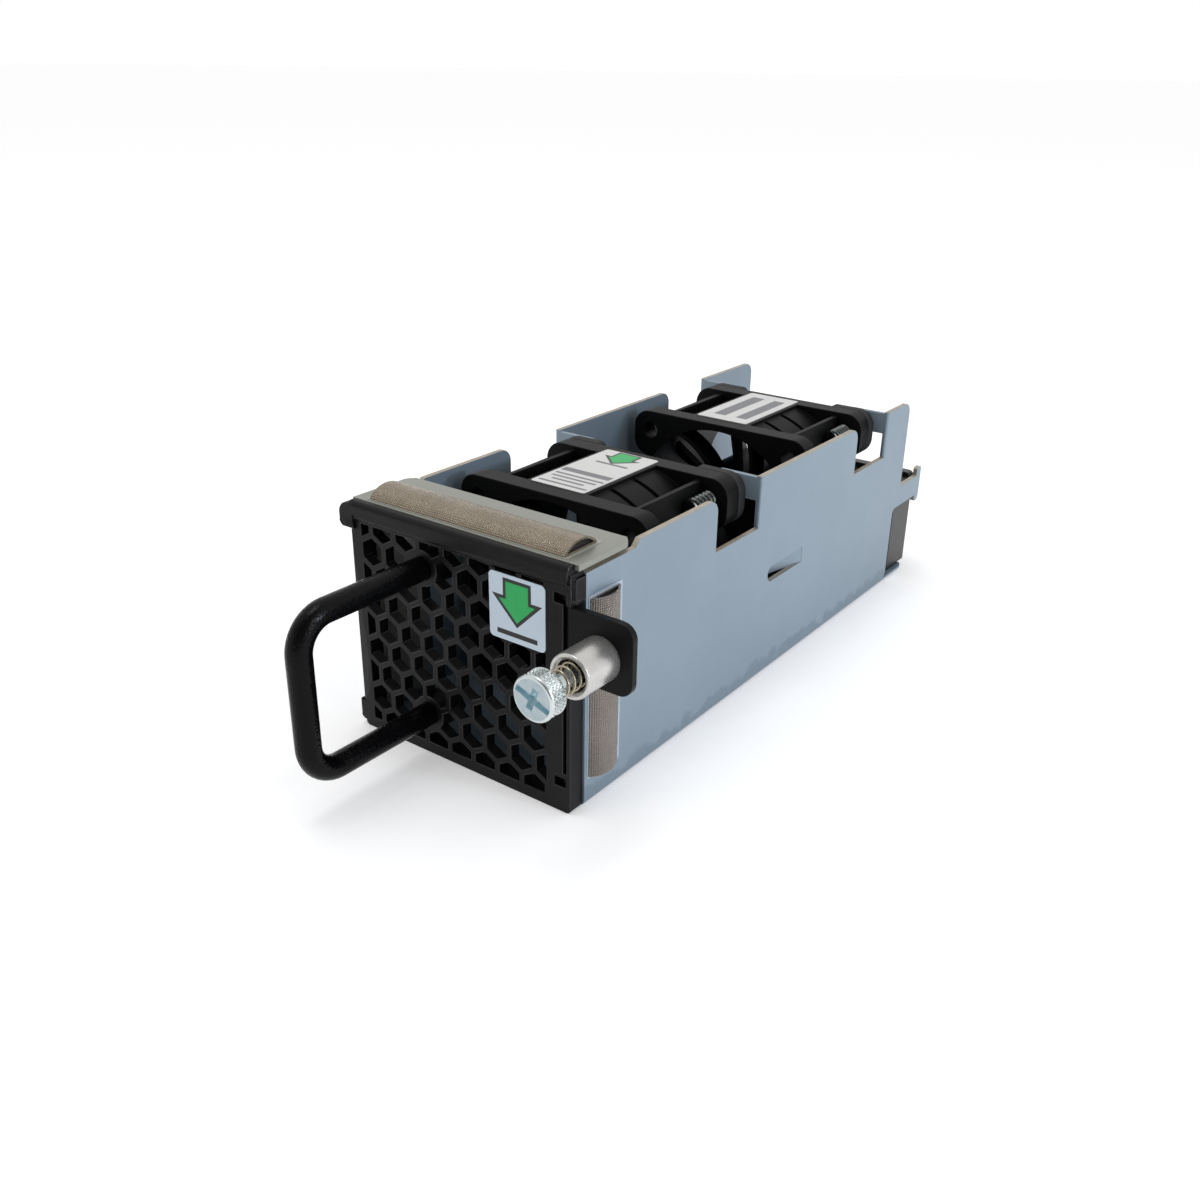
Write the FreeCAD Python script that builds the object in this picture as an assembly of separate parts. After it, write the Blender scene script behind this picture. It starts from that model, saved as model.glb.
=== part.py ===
import FreeCAD
import Part
import math
import os

# A switch fan tray: two axial fans in a folded steel channel behind a moulded honeycomb front.
# Millimetres, modelled with Y = 0 at the front face, Y rearwards, Z up from the tray's underside.
# save() moves every piece back, so that the origin lies under the middle of the tray's floor.

Vector = FreeCAD.Vector
AXIS_X = Vector(1, 0, 0)
AXIS_Y = Vector(0, 1, 0)
AXIS_Z = Vector(0, 0, 1)

# Running and assembly clearances
running_gap = 0.3
shaft_gap = 0.03
screw_gap = 0.1
trim_gap = 0.05

# Steel tray
tray_width = 46.0
sheet = 1.0
wall_height = 41.0
fold_radius = 1.2
left_wall_rear = 128.6
right_wall_rear = 118.2
floor_rear = 127.0
front_step_depth = 15.4
front_step_drop = 1.2
notch_depth = 14.4
notch_height = 9.6
wall_corner = 2.5
arm_height = 4.8
arm_level = 17.3
arm_rear = 129.4
arm_droop = 1.4
arm_corner = 1.2
arm_root_corner = 1.0
hook_rise = 1.9
hook_width = 2.2
hook_corner = 0.8
rear_corner = 4.0
lower_step = 2.8
lower_corner = 3.0
floor_corner = 1.0
guide_slot_front = 58.5
guide_slot_length = 13.3
guide_slot_level = 19.1
guide_slot_height = 3.1
guide_flap_reach = 2.6
guide_flap_root = 0.2
guide_flap_setback = 2.0

# Fans
fan_size = 40.0
fan_depth = 28.0
fan_flange = 4.0
fan_bore = 18.6
duct_wall = 1.3
duct_groove_width = 1.0
duct_groove_depth = 0.6
duct_groove_front = 9.8
duct_groove_pitch = 6.8
duct_groove_count = 2
lobe_size = 9.5
lobe_corner = 3.5
screw_pitch = 32.0
first_fan_front = 23.3
fan_spacing = 53.2
motor_radius = 10.5
motor_base = 1.6
vane_count = 7
vane_thickness = 0.9
vane_depth = 5.0
vane_start = 69.0
vane_sweep = 26.0
fin_thickness = 1.0
fin_place = 13.9
fin_inset = 0.8
label_seat_left = -8.0
label_seat_right = 5.0
label_seat_depth = 1.6

# Fan motor and rotor
shaft_radius = 1.0
bearing_radius = 2.5
bearing_length = 2.3
bearing_front = 3.4
bearing_rear = 13.6
bearing_tube_wall = 0.7
bearing_tube_length = 15.4
board_thickness = 1.0
board_radius = 9.4
core_front = 6.0
core_length = 7.0
core_hub = 4.3
core_pole = 7.7
core_arm = 2.0
pole_thickness = 0.9
pole_angle = 66.0
coil_wall = 0.9
magnet_gap = 0.4
magnet_wall = 0.9
magnet_length = 9.0
yoke_wall = 0.6
hub_wall = 0.7
hub_front = 3.4
hub_rear = 25.4
hub_cap = 1.2
hub_boss = 2.6
hub_boss_length = 5.0
blade_count = 7
blade_tip_gap = 0.5
blade_front = 5.4
blade_rear = 24.4
blade_root_sweep = 4.6
blade_tip_sweep = 6.4
blade_root_thickness = 1.1
blade_tip_thickness = 0.8
blade_camber = 1.5
blade_root_inset = 4.0
blade_tip_outset = 1.0
clip_thickness = 0.4
clip_radius = 1.8
clip_front = 2.6
shaft_stub = 0.4
shaft_cover = 0.6
yoke_setback = 0.4
magnet_setback = 1.0
core_lap = 0.3
coil_gap = 0.1

# Fan fixings
tab_reach = 9.2
tab_neck_height = 4.6
tab_lobe_drop = 7.6
tab_lobe_margin = 1.9
tab_edge_drop = 0.3
tab_corner = 2.0
tab_lobe_corner = 1.5
damper_thickness = 2.3
damper_corner = 1.0
screw_radius = 1.5
screw_reach = 9.8
screw_head_radius = 2.8
screw_head_height = 1.6
screw_point = 0.4
screw_head_edge = 0.3
screw_head_dome = 1.0
screw_recess_depth = 0.9
screw_recess_span = 2.8

# Bezel
bezel_left = -22.5
bezel_right = 22.6
bezel_depth = 3.1
bezel_height = 40.6
grille_depth = 2.0
bezel_corner = 0.8
window_left = -20.3
window_right = 17.9
window_bottom = 2.1
window_drop = 2.6
cell_pitch = 5.15
cell_opening = 4.15
cell_origin_level = 20.2
smallest_cell = 0.33
pad_left = 7.2
pad_drop = 3.1
pad_height = 10.9
lip_front = 0.5
lip_height = 3.2
lip_radius = 1.0
lip_under_corner = 0.8
lip_rear_corner = 0.3
lip_inset = 0.3
top_lug_reach = 2.2
top_lug_height = 4.7
top_lug_drop = 0.4
top_lug_corner = 2.0
top_lug_low_corner = 1.0
lug_lap = 1.0
low_lug_reach = 1.1
low_lug_bottom = 1.2
low_lug_height = 4.0
low_lug_lap = 3.0
low_lug_slope = 1.0
low_lug_setback = 0.6
low_lug_corner = 0.6
low_lug_top_corner = 0.8
groove_left = 21.2
groove_width = 0.6
groove_bottom = 7.0
groove_drop = 4.6
groove_depth = 1.0
hook_slot_left = 19.5
hook_slot_width = 2.2
hook_slot_height = 1.6
hook_slot_low = 4.5
hook_slot_drop = 5.1
hook_slot_depth = 1.4
clip_front_edge = 0.7
clip_drop = 5.0
clip_height = 3.9
clip_stand = 0.4
clip_lap = 0.5
clip_slope = 0.6
clip_corner = 0.5

# Handle
handle_radius = 2.0
handle_place = -6.9
handle_low = 7.7
handle_drop = 6.9
handle_reach = 25.1
handle_bend = 5.5
handle_stud_radius = 1.5
handle_stud_length = 6.4
boss_radius = 3.1
nut_flats = 5.5
nut_height = 2.4

# Front frame
frame_front = 1.3
frame_rear = 14.5
frame_overhang = 0.1
frame_corner = 2.0
frame_ring_drop = 2.4
frame_ring_bottom = 2.4
frame_ring_left = 20.4
frame_ring_right = 19.0
frame_ring_corner = 1.0
frame_ear_margin = 1.0

# Ear and captive screw
ear_sheet = 1.2
ear_front = 0.3
ear_end = 33.3
ear_bottom = 23.8
ear_top = 35.2
ear_corner = 2.3
ear_bend = 1.5
ear_leg_length = 10.5
ear_leg_inset = 1.4
captive_x = 27.8
captive_z = 28.9
barrel_radius = 3.5
barrel_length = 7.4
barrel_bore = 2.5
barrel_chamfer = 0.5
barrel_web = 0.6
barrel_web_front = 5.5
barrel_shank = 2.6
barrel_flare = 0.4
barrel_edge = 0.2
neck_radius = 1.25
thread_radius = 1.5
thread_length = 3.5
thread_point = 0.5
head_radius = 3.5
head_height = 3.2
head_gap = 4.7
head_chamfer = 0.4
recess_width = 0.9
recess_depth = 1.3
recess_span = 4.2
washer_radius = 2.7
washer_thickness = 0.3
spring_radius = 2.0
spring_wire = 0.36
spring_pitch = 1.2

# Gaskets and labels
gasket_wall = 0.5
gasket_height = 2.0
top_gasket_left = -20.0
top_gasket_right = 19.8
top_gasket_front = 2.0
top_gasket_width = 8.0
side_gasket_front = 3.9
side_gasket_width = 7.3
side_gasket_bottom = 5.2
side_gasket_top = 35.5
side_gasket_height = 1.8
gasket_shoulder = 1.7
side_gasket_shoulder = 1.5
gasket_inner_corner = 0.6
label_thickness = 0.12
front_label_width = 10.8
front_label_height = 10.8
label_corner = 0.8
fan_label_left = -7.2
fan_label_width = 11.4
fan_label_front = 3.7
fan_label_length = 22.4
fan_label_corner = 0.5

# Rear connector
connector_left = -4.0
connector_front = 119.0
connector_overhang = 1.4
connector_height = 21.8
connector_corner = 1.0
connector_flange = 2.4
connector_nose_margin = 4.0
connector_nose_height = 9.0
connector_nose_drop = 7.8
connector_pocket_floor = 1.0
connector_nose_length = 4.6
connector_wall = 1.2
connector_foot = 3.0
connector_web = 1.5
contact_count = 6
contact_width = 1.1
contact_thickness = 0.8
contact_setback = 0.8
contact_tail = 2.0
connector_screw_radius = 1.25
connector_screw_head = 2.3
connector_screw_head_height = 1.4
connector_screw_span = 17.0
connector_screw_drop = 4.0
connector_nut_flats = 4.5
connector_nut_height = 1.8
connector_screw_end = 0.2

# Sizes worked out from the ones above
half_width = tray_width / 2
inner_half = half_width - sheet
origin_back = floor_rear / 2
fan_centre = sheet + fan_size / 2
screw_level = fan_centre + screw_pitch / 2
tab_front_offset = fan_depth + damper_thickness
duct_radius = fan_bore + duct_wall
pole_bore = core_pole + magnet_gap
magnet_outer = pole_bore + magnet_wall
yoke_outer = magnet_outer + yoke_wall
hub_radius = yoke_outer + hub_wall
blade_tip = fan_bore - blade_tip_gap
ear_leg_right = inner_half
ear_leg_left = ear_leg_right - ear_sheet
captive_seat = ear_front
window_top = bezel_height - window_drop
handle_high = bezel_height - handle_drop
pad_top = bezel_height - pad_drop
pad_bottom = pad_top - pad_height
groove_top = bezel_height - groove_drop
hook_slot_high = bezel_height - hook_slot_drop
clip_bottom = bezel_height - clip_drop
frame_ring_top = bezel_height - frame_ring_drop
barrel_front = captive_seat - barrel_length
head_back = barrel_front - head_gap
head_front = head_back - head_height
web_front = barrel_front + barrel_web_front
web_back = web_front + barrel_web
connector_right = inner_half - running_gap
connector_rear = floor_rear + connector_overhang
connector_top = sheet + connector_height
nose_high = connector_top - connector_nose_drop
nose_low = nose_high - connector_nose_height
nose_rear = connector_rear + connector_nose_length


def place(plane, across, up, level):
    """A point in a drawing plane: side is (Y, Z) at an X, front is (X, Z) at a Y, top is (X, Y) at a Z."""
    if plane == "side":
        return Vector(level, across, up)
    if plane == "front":
        return Vector(across, level, up)
    return Vector(across, up, level)


def corner_marks(before, corner, after):
    """Start, middle and end of a corner's arc, or the corner alone where it has no radius."""
    here = Vector(corner[0], corner[1], 0)
    if len(corner) < 3:
        return [here]
    back = (Vector(before[0], before[1], 0) - here).normalize()
    ahead = (Vector(after[0], after[1], 0) - here).normalize()
    half_angle = back.getAngle(ahead) / 2
    radius = corner[2]
    centre = here + (back + ahead).normalize() * (radius / math.sin(half_angle))
    middle = centre + (here - centre).normalize() * radius
    run = radius / math.tan(half_angle)
    return [here + back * run, middle, here + ahead * run]


def outline(plane, corners, level):
    """A flat face from corners (across, up) or (across, up, radius)."""
    marks = []
    for index, corner in enumerate(corners):
        after = corners[(index + 1) % len(corners)]
        marks.append(corner_marks(corners[index - 1], corner, after))
    edges = []
    for index, mark in enumerate(marks):
        start = marks[index - 1][-1]
        if start.distanceToPoint(mark[0]) > 1e-6:
            line_ends = [place(plane, spot.x, spot.y, level) for spot in (start, mark[0])]
            edges.append(Part.LineSegment(line_ends[0], line_ends[1]).toShape())
        if len(mark) == 3:
            arc_marks = [place(plane, spot.x, spot.y, level) for spot in mark]
            edges.append(Part.Arc(arc_marks[0], arc_marks[1], arc_marks[2]).toShape())
    return Part.Face(Part.Wire(edges))


def prism(plane, corners, low, high):
    """A solid with the outline of the corners, from one level to another across the plane."""
    direction = {"side": AXIS_X, "front": AXIS_Y, "top": AXIS_Z}[plane]
    return outline(plane, corners, low).extrude(direction * (high - low))


def block(x_low, x_high, y_low, y_high, z_low, z_high):
    """A block between two corners."""
    return Part.makeBox(x_high - x_low, y_high - y_low, z_high - z_low, Vector(x_low, y_low, z_low))


def rod(x, z, y_low, y_high, radius):
    """A round bar along Y."""
    return Part.makeCylinder(radius, y_high - y_low, Vector(x, y_low, z), AXIS_Y)


def ring(x, z, y_low, y_high, outer, inner):
    """A tube along Y."""
    hole = rod(x, z, y_low - 1, y_high + 1, inner)
    return rod(x, z, y_low, y_high, outer).cut(hole)


def rectangle(left, right, low, high, radius):
    """Corners of a rectangle, all rounded alike."""
    return [(left, low, radius), (right, low, radius), (right, high, radius), (left, high, radius)]


def hexagon(x, z, flats, turn):
    """Corners of a hexagon in the front plane; a turn of 30 puts a point on top."""
    radius = flats / math.sqrt(3)
    angles = [math.radians(turn + 60 * step) for step in range(6)]
    return [(x + radius * math.cos(angle), z + radius * math.sin(angle)) for angle in angles]


def joined(shapes):
    """One solid from pieces that touch or overlap."""
    whole = shapes[0].multiFuse(shapes[1:])
    return whole.removeSplitter()


def mirrored(shape):
    """The same piece on the other side of the tray."""
    return shape.mirror(Vector(0, 0, 0), AXIS_X)


def save(name, shape):
    """Write one node, with the origin under the middle of the floor."""
    moved = shape.copy()
    moved.translate(Vector(0, -origin_back, 0))
    moved.exportStep(f"parts/{name}.step")


# Tray

def wall_outline(rear_corners):
    """Side view of a wall: the step at the front, two notches for the fan tabs and the rear end."""
    low = wall_height - notch_height
    step_top = wall_height - front_step_drop
    corners = [(bezel_depth, 0), (bezel_depth, step_top), (front_step_depth, step_top)]
    corners.append((front_step_depth + front_step_drop, wall_height))
    for fan_front in (first_fan_front, first_fan_front + fan_spacing):
        rear = fan_front + tab_front_offset
        front = rear - notch_depth
        corners += [(front, wall_height, wall_corner), (front, low), (rear, low), (rear, wall_height)]
    return corners + rear_corners


def right_rear_corners():
    """The right wall's rear end, with the arm that holds the connector and its hooked end."""
    arm_top = arm_level + arm_height
    hook_top = arm_top + hook_rise
    hook_front = arm_rear - hook_width
    arm_low = arm_level - arm_droop
    lower_rear = right_wall_rear - lower_step
    return [
        (right_wall_rear, wall_height, wall_corner),
        (right_wall_rear, arm_top),
        (hook_front, arm_top),
        (hook_front, hook_top, hook_corner),
        (arm_rear, hook_top, hook_corner),
        (arm_rear, arm_low, arm_corner),
        (hook_front, arm_low, hook_corner),
        (hook_front, arm_level),
        (lower_rear, arm_level, arm_root_corner),
        (lower_rear, 0, lower_corner),
    ]


def left_rear_corners():
    """The left wall's rear end, full height."""
    return [(left_wall_rear, wall_height, wall_corner), (left_wall_rear, 0, rear_corner)]


def tray_channel():
    """Floor and walls as one folded section, cut to the side and top outlines."""
    section = [
        (-half_width, 0, fold_radius), (half_width, 0, fold_radius), (half_width, wall_height),
        (inner_half, wall_height), (inner_half, sheet, fold_radius - sheet),
        (-inner_half, sheet, fold_radius - sheet), (-inner_half, wall_height), (-half_width, wall_height),
    ]
    folded = prism("front", section, bezel_depth, arm_rear)
    right = prism("side", wall_outline(right_rear_corners()), inner_half - sheet, half_width)
    left = prism("side", wall_outline(left_rear_corners()), -half_width, -inner_half + sheet)
    floor_corners = [
        (-half_width, bezel_depth), (half_width, bezel_depth),
        (half_width, floor_rear, rear_corner), (-half_width, floor_rear, floor_corner),
    ]
    floor = prism("top", floor_corners, 0, fold_radius)
    return folded.common(joined([right, left, floor]))


def fan_tab(rear):
    """A tab bent in from a notch's rear edge, with a lobe round the fan screw."""
    left = inner_half - tab_reach
    neck_low = wall_height - tab_neck_height
    lobe_low = wall_height - tab_lobe_drop
    lobe_right = screw_pitch / 2 + tab_lobe_margin
    top = wall_height - tab_edge_drop
    root = half_width - sheet / 4
    corners = [
        (left, top, tab_corner), (left, lobe_low, tab_lobe_corner), (lobe_right, lobe_low, tab_lobe_corner),
        (lobe_right, neck_low), (root, neck_low), (root, top),
    ]
    plate = prism("front", corners, rear, rear + sheet)
    return plate.cut(rod(screw_pitch / 2, screw_level, rear - 1, rear + 2, screw_radius + screw_gap))


def guide_slot():
    """The opening of the lanced guide, with a round front end."""
    top = guide_slot_level + guide_slot_height
    rear = guide_slot_front + guide_slot_length
    nose = guide_slot_height / 2 - trim_gap
    corners = [
        (guide_slot_front, guide_slot_level, nose), (rear, guide_slot_level),
        (rear, top), (guide_slot_front, top, nose),
    ]
    return prism("side", corners, inner_half - 1, half_width + 1)


def guide_flap():
    """The metal of the guide slot, bent inwards about its rear end."""
    rear = guide_slot_front + guide_slot_length
    front = guide_slot_front + guide_flap_setback
    corners = [
        (half_width, rear + guide_flap_root), (inner_half, rear + guide_flap_root),
        (inner_half - guide_flap_reach, front), (half_width - guide_flap_reach, front),
    ]
    return prism("top", corners, guide_slot_level, guide_slot_level + guide_slot_height)


def tray():
    """The whole tray in one folded sheet."""
    pieces = [tray_channel().cut(guide_slot()), guide_flap()]
    for front in (first_fan_front, first_fan_front + fan_spacing):
        tab = fan_tab(front + tab_front_offset)
        pieces += [tab, mirrored(tab)]
    return joined(pieces)


# Front frame and bezel

def front_frame():
    """Steel frame behind the bezel: a top flange for the gasket, a ring and two welded side legs."""
    top_low = bezel_height
    top_high = bezel_height + sheet
    reach = half_width + frame_overhang
    top_corners = [
        (-reach, frame_front), (reach, frame_front),
        (reach, frame_rear, frame_corner), (-reach, frame_rear, frame_corner),
    ]
    flange = prism("top", top_corners, top_low, top_high)
    ring_rear = bezel_depth + sheet
    plate_corner = fold_radius - sheet + trim_gap
    plate_corners = [
        (-inner_half, sheet, plate_corner), (inner_half, sheet, plate_corner),
        (inner_half, top_high), (-inner_half, top_high),
    ]
    plate = prism("front", plate_corners, bezel_depth, ring_rear)
    window = rectangle(-frame_ring_left, frame_ring_right, frame_ring_bottom, frame_ring_top, frame_ring_corner)
    plate = plate.cut(prism("front", window, bezel_depth - 1, ring_rear + 1))
    leg = block(inner_half - sheet, inner_half, bezel_depth, frame_rear, sheet + fold_radius, top_high)
    ear_room = block(
        ear_leg_left - frame_ear_margin, inner_half + frame_ear_margin,
        bezel_depth - frame_ear_margin, bezel_depth + ear_leg_length,
        ear_bottom + ear_leg_inset - trim_gap, ear_top - ear_leg_inset + trim_gap)
    return joined([flange, plate, leg, mirrored(leg)]).cut(ear_room)


def grille_cells():
    """Honeycomb openings, clipped by the window, the label pad and the handle bosses."""
    field = block(window_left, window_right, -1, bezel_depth + 1, window_bottom, window_top)
    pad = block(pad_left, window_right + 1, -2, bezel_depth + 2, pad_bottom, pad_top)
    posts = [rod(handle_place, level, -2, bezel_depth + 2, boss_radius) for level in (handle_low, handle_high)]
    field = field.cut([pad] + posts)
    row_pitch = cell_pitch * math.sqrt(3) / 2
    smallest = smallest_cell * cell_opening * bezel_depth
    cells = []
    lowest = math.floor((window_bottom - cell_origin_level) / row_pitch)
    highest = math.ceil((window_top - cell_origin_level) / row_pitch)
    leftmost = math.floor(window_left / cell_pitch)
    rightmost = math.ceil(window_right / cell_pitch)
    for row in range(lowest, highest + 1):
        for column in range(leftmost - 1, rightmost + 1):
            x = cell_pitch * (column + 0.5 * (row % 2))
            z = cell_origin_level + row_pitch * row
            cell = prism("front", hexagon(x, z, cell_opening, 30), -1, bezel_depth + 1)
            cells += [piece for piece in cell.common(field).Solids if piece.Volume > smallest]
    return cells


def bezel_lip():
    """The rolled lip along the top front edge and its lug round the left corner."""
    top = bezel_height + sheet
    roll = [
        (-lip_front, top - lip_height, lip_under_corner), (-lip_front, top, lip_radius),
        (frame_front, top, lip_rear_corner),
        (frame_front, bezel_height), (1.5 * frame_front, bezel_height), (1.5 * frame_front, top - lip_height),
    ]
    lip = prism("side", roll, bezel_left, bezel_right - lip_inset)
    lug_left = bezel_left - top_lug_reach
    lug_low = top - top_lug_height
    lug = prism("front", [
        (lug_left, lug_low, top_lug_low_corner), (bezel_left + lug_lap, lug_low),
        (bezel_left + lug_lap, top - top_lug_drop), (lug_left, top - top_lug_drop, top_lug_corner),
    ], -lip_front, frame_front - trim_gap)
    return [lip, lug]


def bezel_low_lug():
    """The small lug at the lower left corner."""
    left = bezel_left - low_lug_reach
    root = bezel_left + low_lug_lap
    top = low_lug_bottom + low_lug_height
    corners = [
        (left, low_lug_bottom, low_lug_corner), (root, low_lug_bottom - low_lug_slope),
        (root, top), (left, top, low_lug_top_corner),
    ]
    return prism("front", corners, 0, bezel_depth - low_lug_setback)


def bezel_clip():
    """The snap clip on the right side of the bezel."""
    corners = [
        (clip_front_edge, clip_bottom + clip_slope), (bezel_depth, clip_bottom),
        (bezel_depth, clip_bottom + clip_height), (clip_front_edge, clip_bottom + clip_height, clip_corner),
    ]
    return prism("side", corners, bezel_right - clip_lap, bezel_right + clip_stand)


def ear_pocket():
    """Room in the bezel's right border for the ear and its bent leg."""
    low = ear_bottom - trim_gap
    high = ear_top + trim_gap
    left = ear_leg_left - trim_gap
    front = ear_front - trim_gap
    tongue = prism("top", [
        (left, front, ear_bend), (bezel_right + 1, front), (bezel_right + 1, bezel_depth + 1), (left, bezel_depth + 1),
    ], low, high)
    mouth = block(groove_left, bezel_right + 1, -1, bezel_depth - 1, low, high)
    return tongue.fuse(mouth)


def bezel():
    """Moulded front with its honeycomb, lip, lugs, clip, slots and groove."""
    body = prism("front", rectangle(bezel_left, bezel_right, 0, bezel_height, bezel_corner), 0, bezel_depth)
    whole = joined([body, bezel_low_lug(), bezel_clip()] + bezel_lip())
    back = block(window_left, window_right, grille_depth, bezel_depth + 1, window_bottom, window_top)
    pad = block(pad_left, window_right + 1, -1, bezel_depth + 2, pad_bottom, pad_top)
    posts = [rod(handle_place, level, -1, bezel_depth + 2, boss_radius) for level in (handle_low, handle_high)]
    cuts = [back.cut([pad] + posts)] + grille_cells()
    for level in (handle_low, handle_high):
        cuts.append(rod(handle_place, level, -1, bezel_depth + 1, handle_stud_radius + screw_gap))
    for level in (hook_slot_low, hook_slot_high):
        cuts.append(block(
            hook_slot_left, hook_slot_left + hook_slot_width, -1, hook_slot_depth, level, level + hook_slot_height))
    groove_right = groove_left + groove_width
    cuts.append(block(groove_left, groove_right, -1, groove_depth, groove_bottom, groove_top))
    return whole.cut(Part.makeCompound(cuts)).cut(ear_pocket())


# Handle

def handle_elbow(level, side):
    """A quarter bend from a post at a level to the grip; side is 1 where the grip lies above."""
    start = Vector(handle_place, handle_bend - handle_reach, level)
    centre = start + AXIS_Z * (side * handle_bend)
    section = Part.Face(Part.Wire(Part.makeCircle(handle_radius, start, AXIS_Y)))
    return section.revolve(centre, AXIS_X * -side, 90)


def handle():
    """A round bar bent to a U, with a threaded stud at each end."""
    pieces = [Part.makeCylinder(
        handle_radius, handle_high - handle_low - 2 * handle_bend,
        Vector(handle_place, -handle_reach, handle_low + handle_bend), AXIS_Z)]
    for level, side in ((handle_low, 1), (handle_high, -1)):
        pieces.append(handle_elbow(level, side))
        pieces.append(rod(handle_place, level, handle_bend - handle_reach, 0, handle_radius))
        pieces.append(rod(handle_place, level, 0, handle_stud_length, handle_stud_radius))
    return joined(pieces)


def handle_nuts():
    """One hexagon nut on each stud, against the back of its boss."""
    nuts = []
    for level in (handle_low, handle_high):
        nut = prism("front", hexagon(handle_place, level, nut_flats, 0), bezel_depth, bezel_depth + nut_height)
        nuts.append(nut.cut(rod(handle_place, level, 0, bezel_depth + 5, handle_stud_radius + trim_gap)))
    return Part.makeCompound(nuts)


# Ear and captive screw

def ear_bracket():
    """Sheet ear that stands out to the right, with a leg bent back along the wall."""
    ear = prism("front", [
        (ear_leg_left, ear_bottom), (ear_end, ear_bottom, ear_corner),
        (ear_end, ear_top, ear_corner), (ear_leg_left, ear_top),
    ], ear_front, ear_front + ear_sheet)
    rear = bezel_depth + ear_leg_length - trim_gap
    leg = block(ear_leg_left, ear_leg_right, ear_front, rear, ear_bottom + ear_leg_inset, ear_top - ear_leg_inset)
    bent = prism("top", [
        (ear_leg_left, ear_front, ear_bend), (ear_end, ear_front), (ear_end, rear), (ear_leg_left, rear),
    ], ear_bottom, ear_top)
    whole = joined([ear, leg]).common(bent)
    return whole.cut(rod(captive_x, captive_z, -1, 3, barrel_shank))


def captive_barrel():
    """Turned barrel with a stepped bore, flared into the ear."""
    back = ear_front + ear_sheet + barrel_flare
    profile = [
        (barrel_bore + barrel_chamfer, barrel_front), (barrel_radius - barrel_edge, barrel_front),
        (barrel_radius, barrel_front + barrel_edge), (barrel_radius, captive_seat), (barrel_shank, captive_seat),
        (barrel_shank, ear_front + ear_sheet), (barrel_shank + barrel_flare, ear_front + ear_sheet),
        (barrel_shank + barrel_flare, back), (thread_radius + screw_gap, back),
        (thread_radius + screw_gap, web_back), (neck_radius + shaft_gap, web_back),
        (neck_radius + shaft_gap, web_front), (barrel_bore, web_front),
        (barrel_bore, barrel_front + barrel_chamfer),
    ]
    return turned(profile, captive_x, captive_z)


def turned(profile, x, z):
    """A solid of revolution about an axis along Y, from (radius, y) corners."""
    face = outline("top", profile, 0)
    solid = face.revolve(Vector(0, 0, 0), AXIS_Y, 360)
    solid.translate(Vector(x, 0, z))
    return solid


def captive_screw():
    """Knurled head with a crossed recess, a slim neck and a thread that can't pass the barrel's web."""
    thread_front = web_back + trim_gap
    profile = [
        (0, head_front), (head_radius - head_chamfer, head_front), (head_radius, head_front + head_chamfer),
        (head_radius, head_back - head_chamfer), (head_radius - head_chamfer, head_back),
        (neck_radius, head_back), (neck_radius, thread_front), (thread_radius, thread_front),
        (thread_radius, thread_front + thread_length - thread_point),
        (thread_radius - thread_point, thread_front + thread_length), (0, thread_front + thread_length),
    ]
    screw = turned(profile, captive_x, captive_z)
    half_span = recess_span / 2
    half_slot = recess_width / 2
    floor = head_front + recess_depth
    flat = block(captive_x - half_span, captive_x + half_span, head_front - 1, floor,
                 captive_z - half_slot, captive_z + half_slot)
    upright = block(captive_x - half_slot, captive_x + half_slot, head_front - 1, floor,
                    captive_z - half_span, captive_z + half_span)
    return screw.cut([flat, upright])


def captive_washer():
    """Spring seat under the head."""
    front = head_back + trim_gap
    return ring(captive_x, captive_z, front, front + washer_thickness, washer_radius, neck_radius + shaft_gap)


def captive_spring():
    """Coil spring between the barrel's web and the washer, at its released length."""
    low = head_back + trim_gap + washer_thickness + spring_wire / 2
    high = web_front - spring_wire / 2
    helix = Part.makeHelix(spring_pitch, high - low, spring_radius)
    half = spring_wire / 2
    corners = [(spring_radius - half, -half), (spring_radius + half, -half),
               (spring_radius + half, half), (spring_radius - half, half)]
    section = Part.makePolygon([Vector(x, 0, z) for x, z in corners + corners[:1]])
    coil = Part.Wire(helix.Edges).makePipeShell([section], True, True)
    coil.rotate(Vector(0, 0, 0), AXIS_X, -90)
    coil.translate(Vector(captive_x, low, captive_z))
    return coil


# Gaskets and labels

def dome(low, high, base, height):
    """Corners of a D section, flat side down."""
    top = base + height
    return [(low, base), (high, base), (high, top, gasket_shoulder), (low, top, gasket_shoulder)]


def top_gasket():
    """Hollow D seal on the front frame's flange."""
    base = bezel_height + sheet
    rear = top_gasket_front + top_gasket_width
    skin = prism("side", dome(top_gasket_front, rear, base, gasket_height), top_gasket_left, top_gasket_right)
    wall = gasket_wall
    hollow = [
        (top_gasket_front + wall, base + wall), (rear - wall, base + wall),
        (rear - wall, base + gasket_height - wall, gasket_inner_corner),
        (top_gasket_front + wall, base + gasket_height - wall, gasket_inner_corner),
    ]
    return skin.cut(prism("side", hollow, top_gasket_left - 1, top_gasket_right + 1))


def side_gasket():
    """Hollow D seal on the right wall."""
    rear = side_gasket_front + side_gasket_width
    outer = half_width + side_gasket_height
    skin = prism("top", [
        (half_width, side_gasket_front), (outer, side_gasket_front, side_gasket_shoulder),
        (outer, rear, side_gasket_shoulder), (half_width, rear),
    ], side_gasket_bottom, side_gasket_top)
    wall = gasket_wall
    hollow = prism("top", [
        (half_width + wall, side_gasket_front + wall), (outer - wall, side_gasket_front + wall, gasket_inner_corner),
        (outer - wall, rear - wall, gasket_inner_corner), (half_width + wall, rear - wall),
    ], side_gasket_bottom - 1, side_gasket_top + 1)
    return skin.cut(hollow)


def front_label():
    """Plain sticker on the bezel's pad."""
    right = pad_left + front_label_width
    top = pad_bottom + front_label_height
    return prism("front", rectangle(pad_left, right, pad_bottom, top, label_corner), -label_thickness, 0)


# Fan

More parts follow.
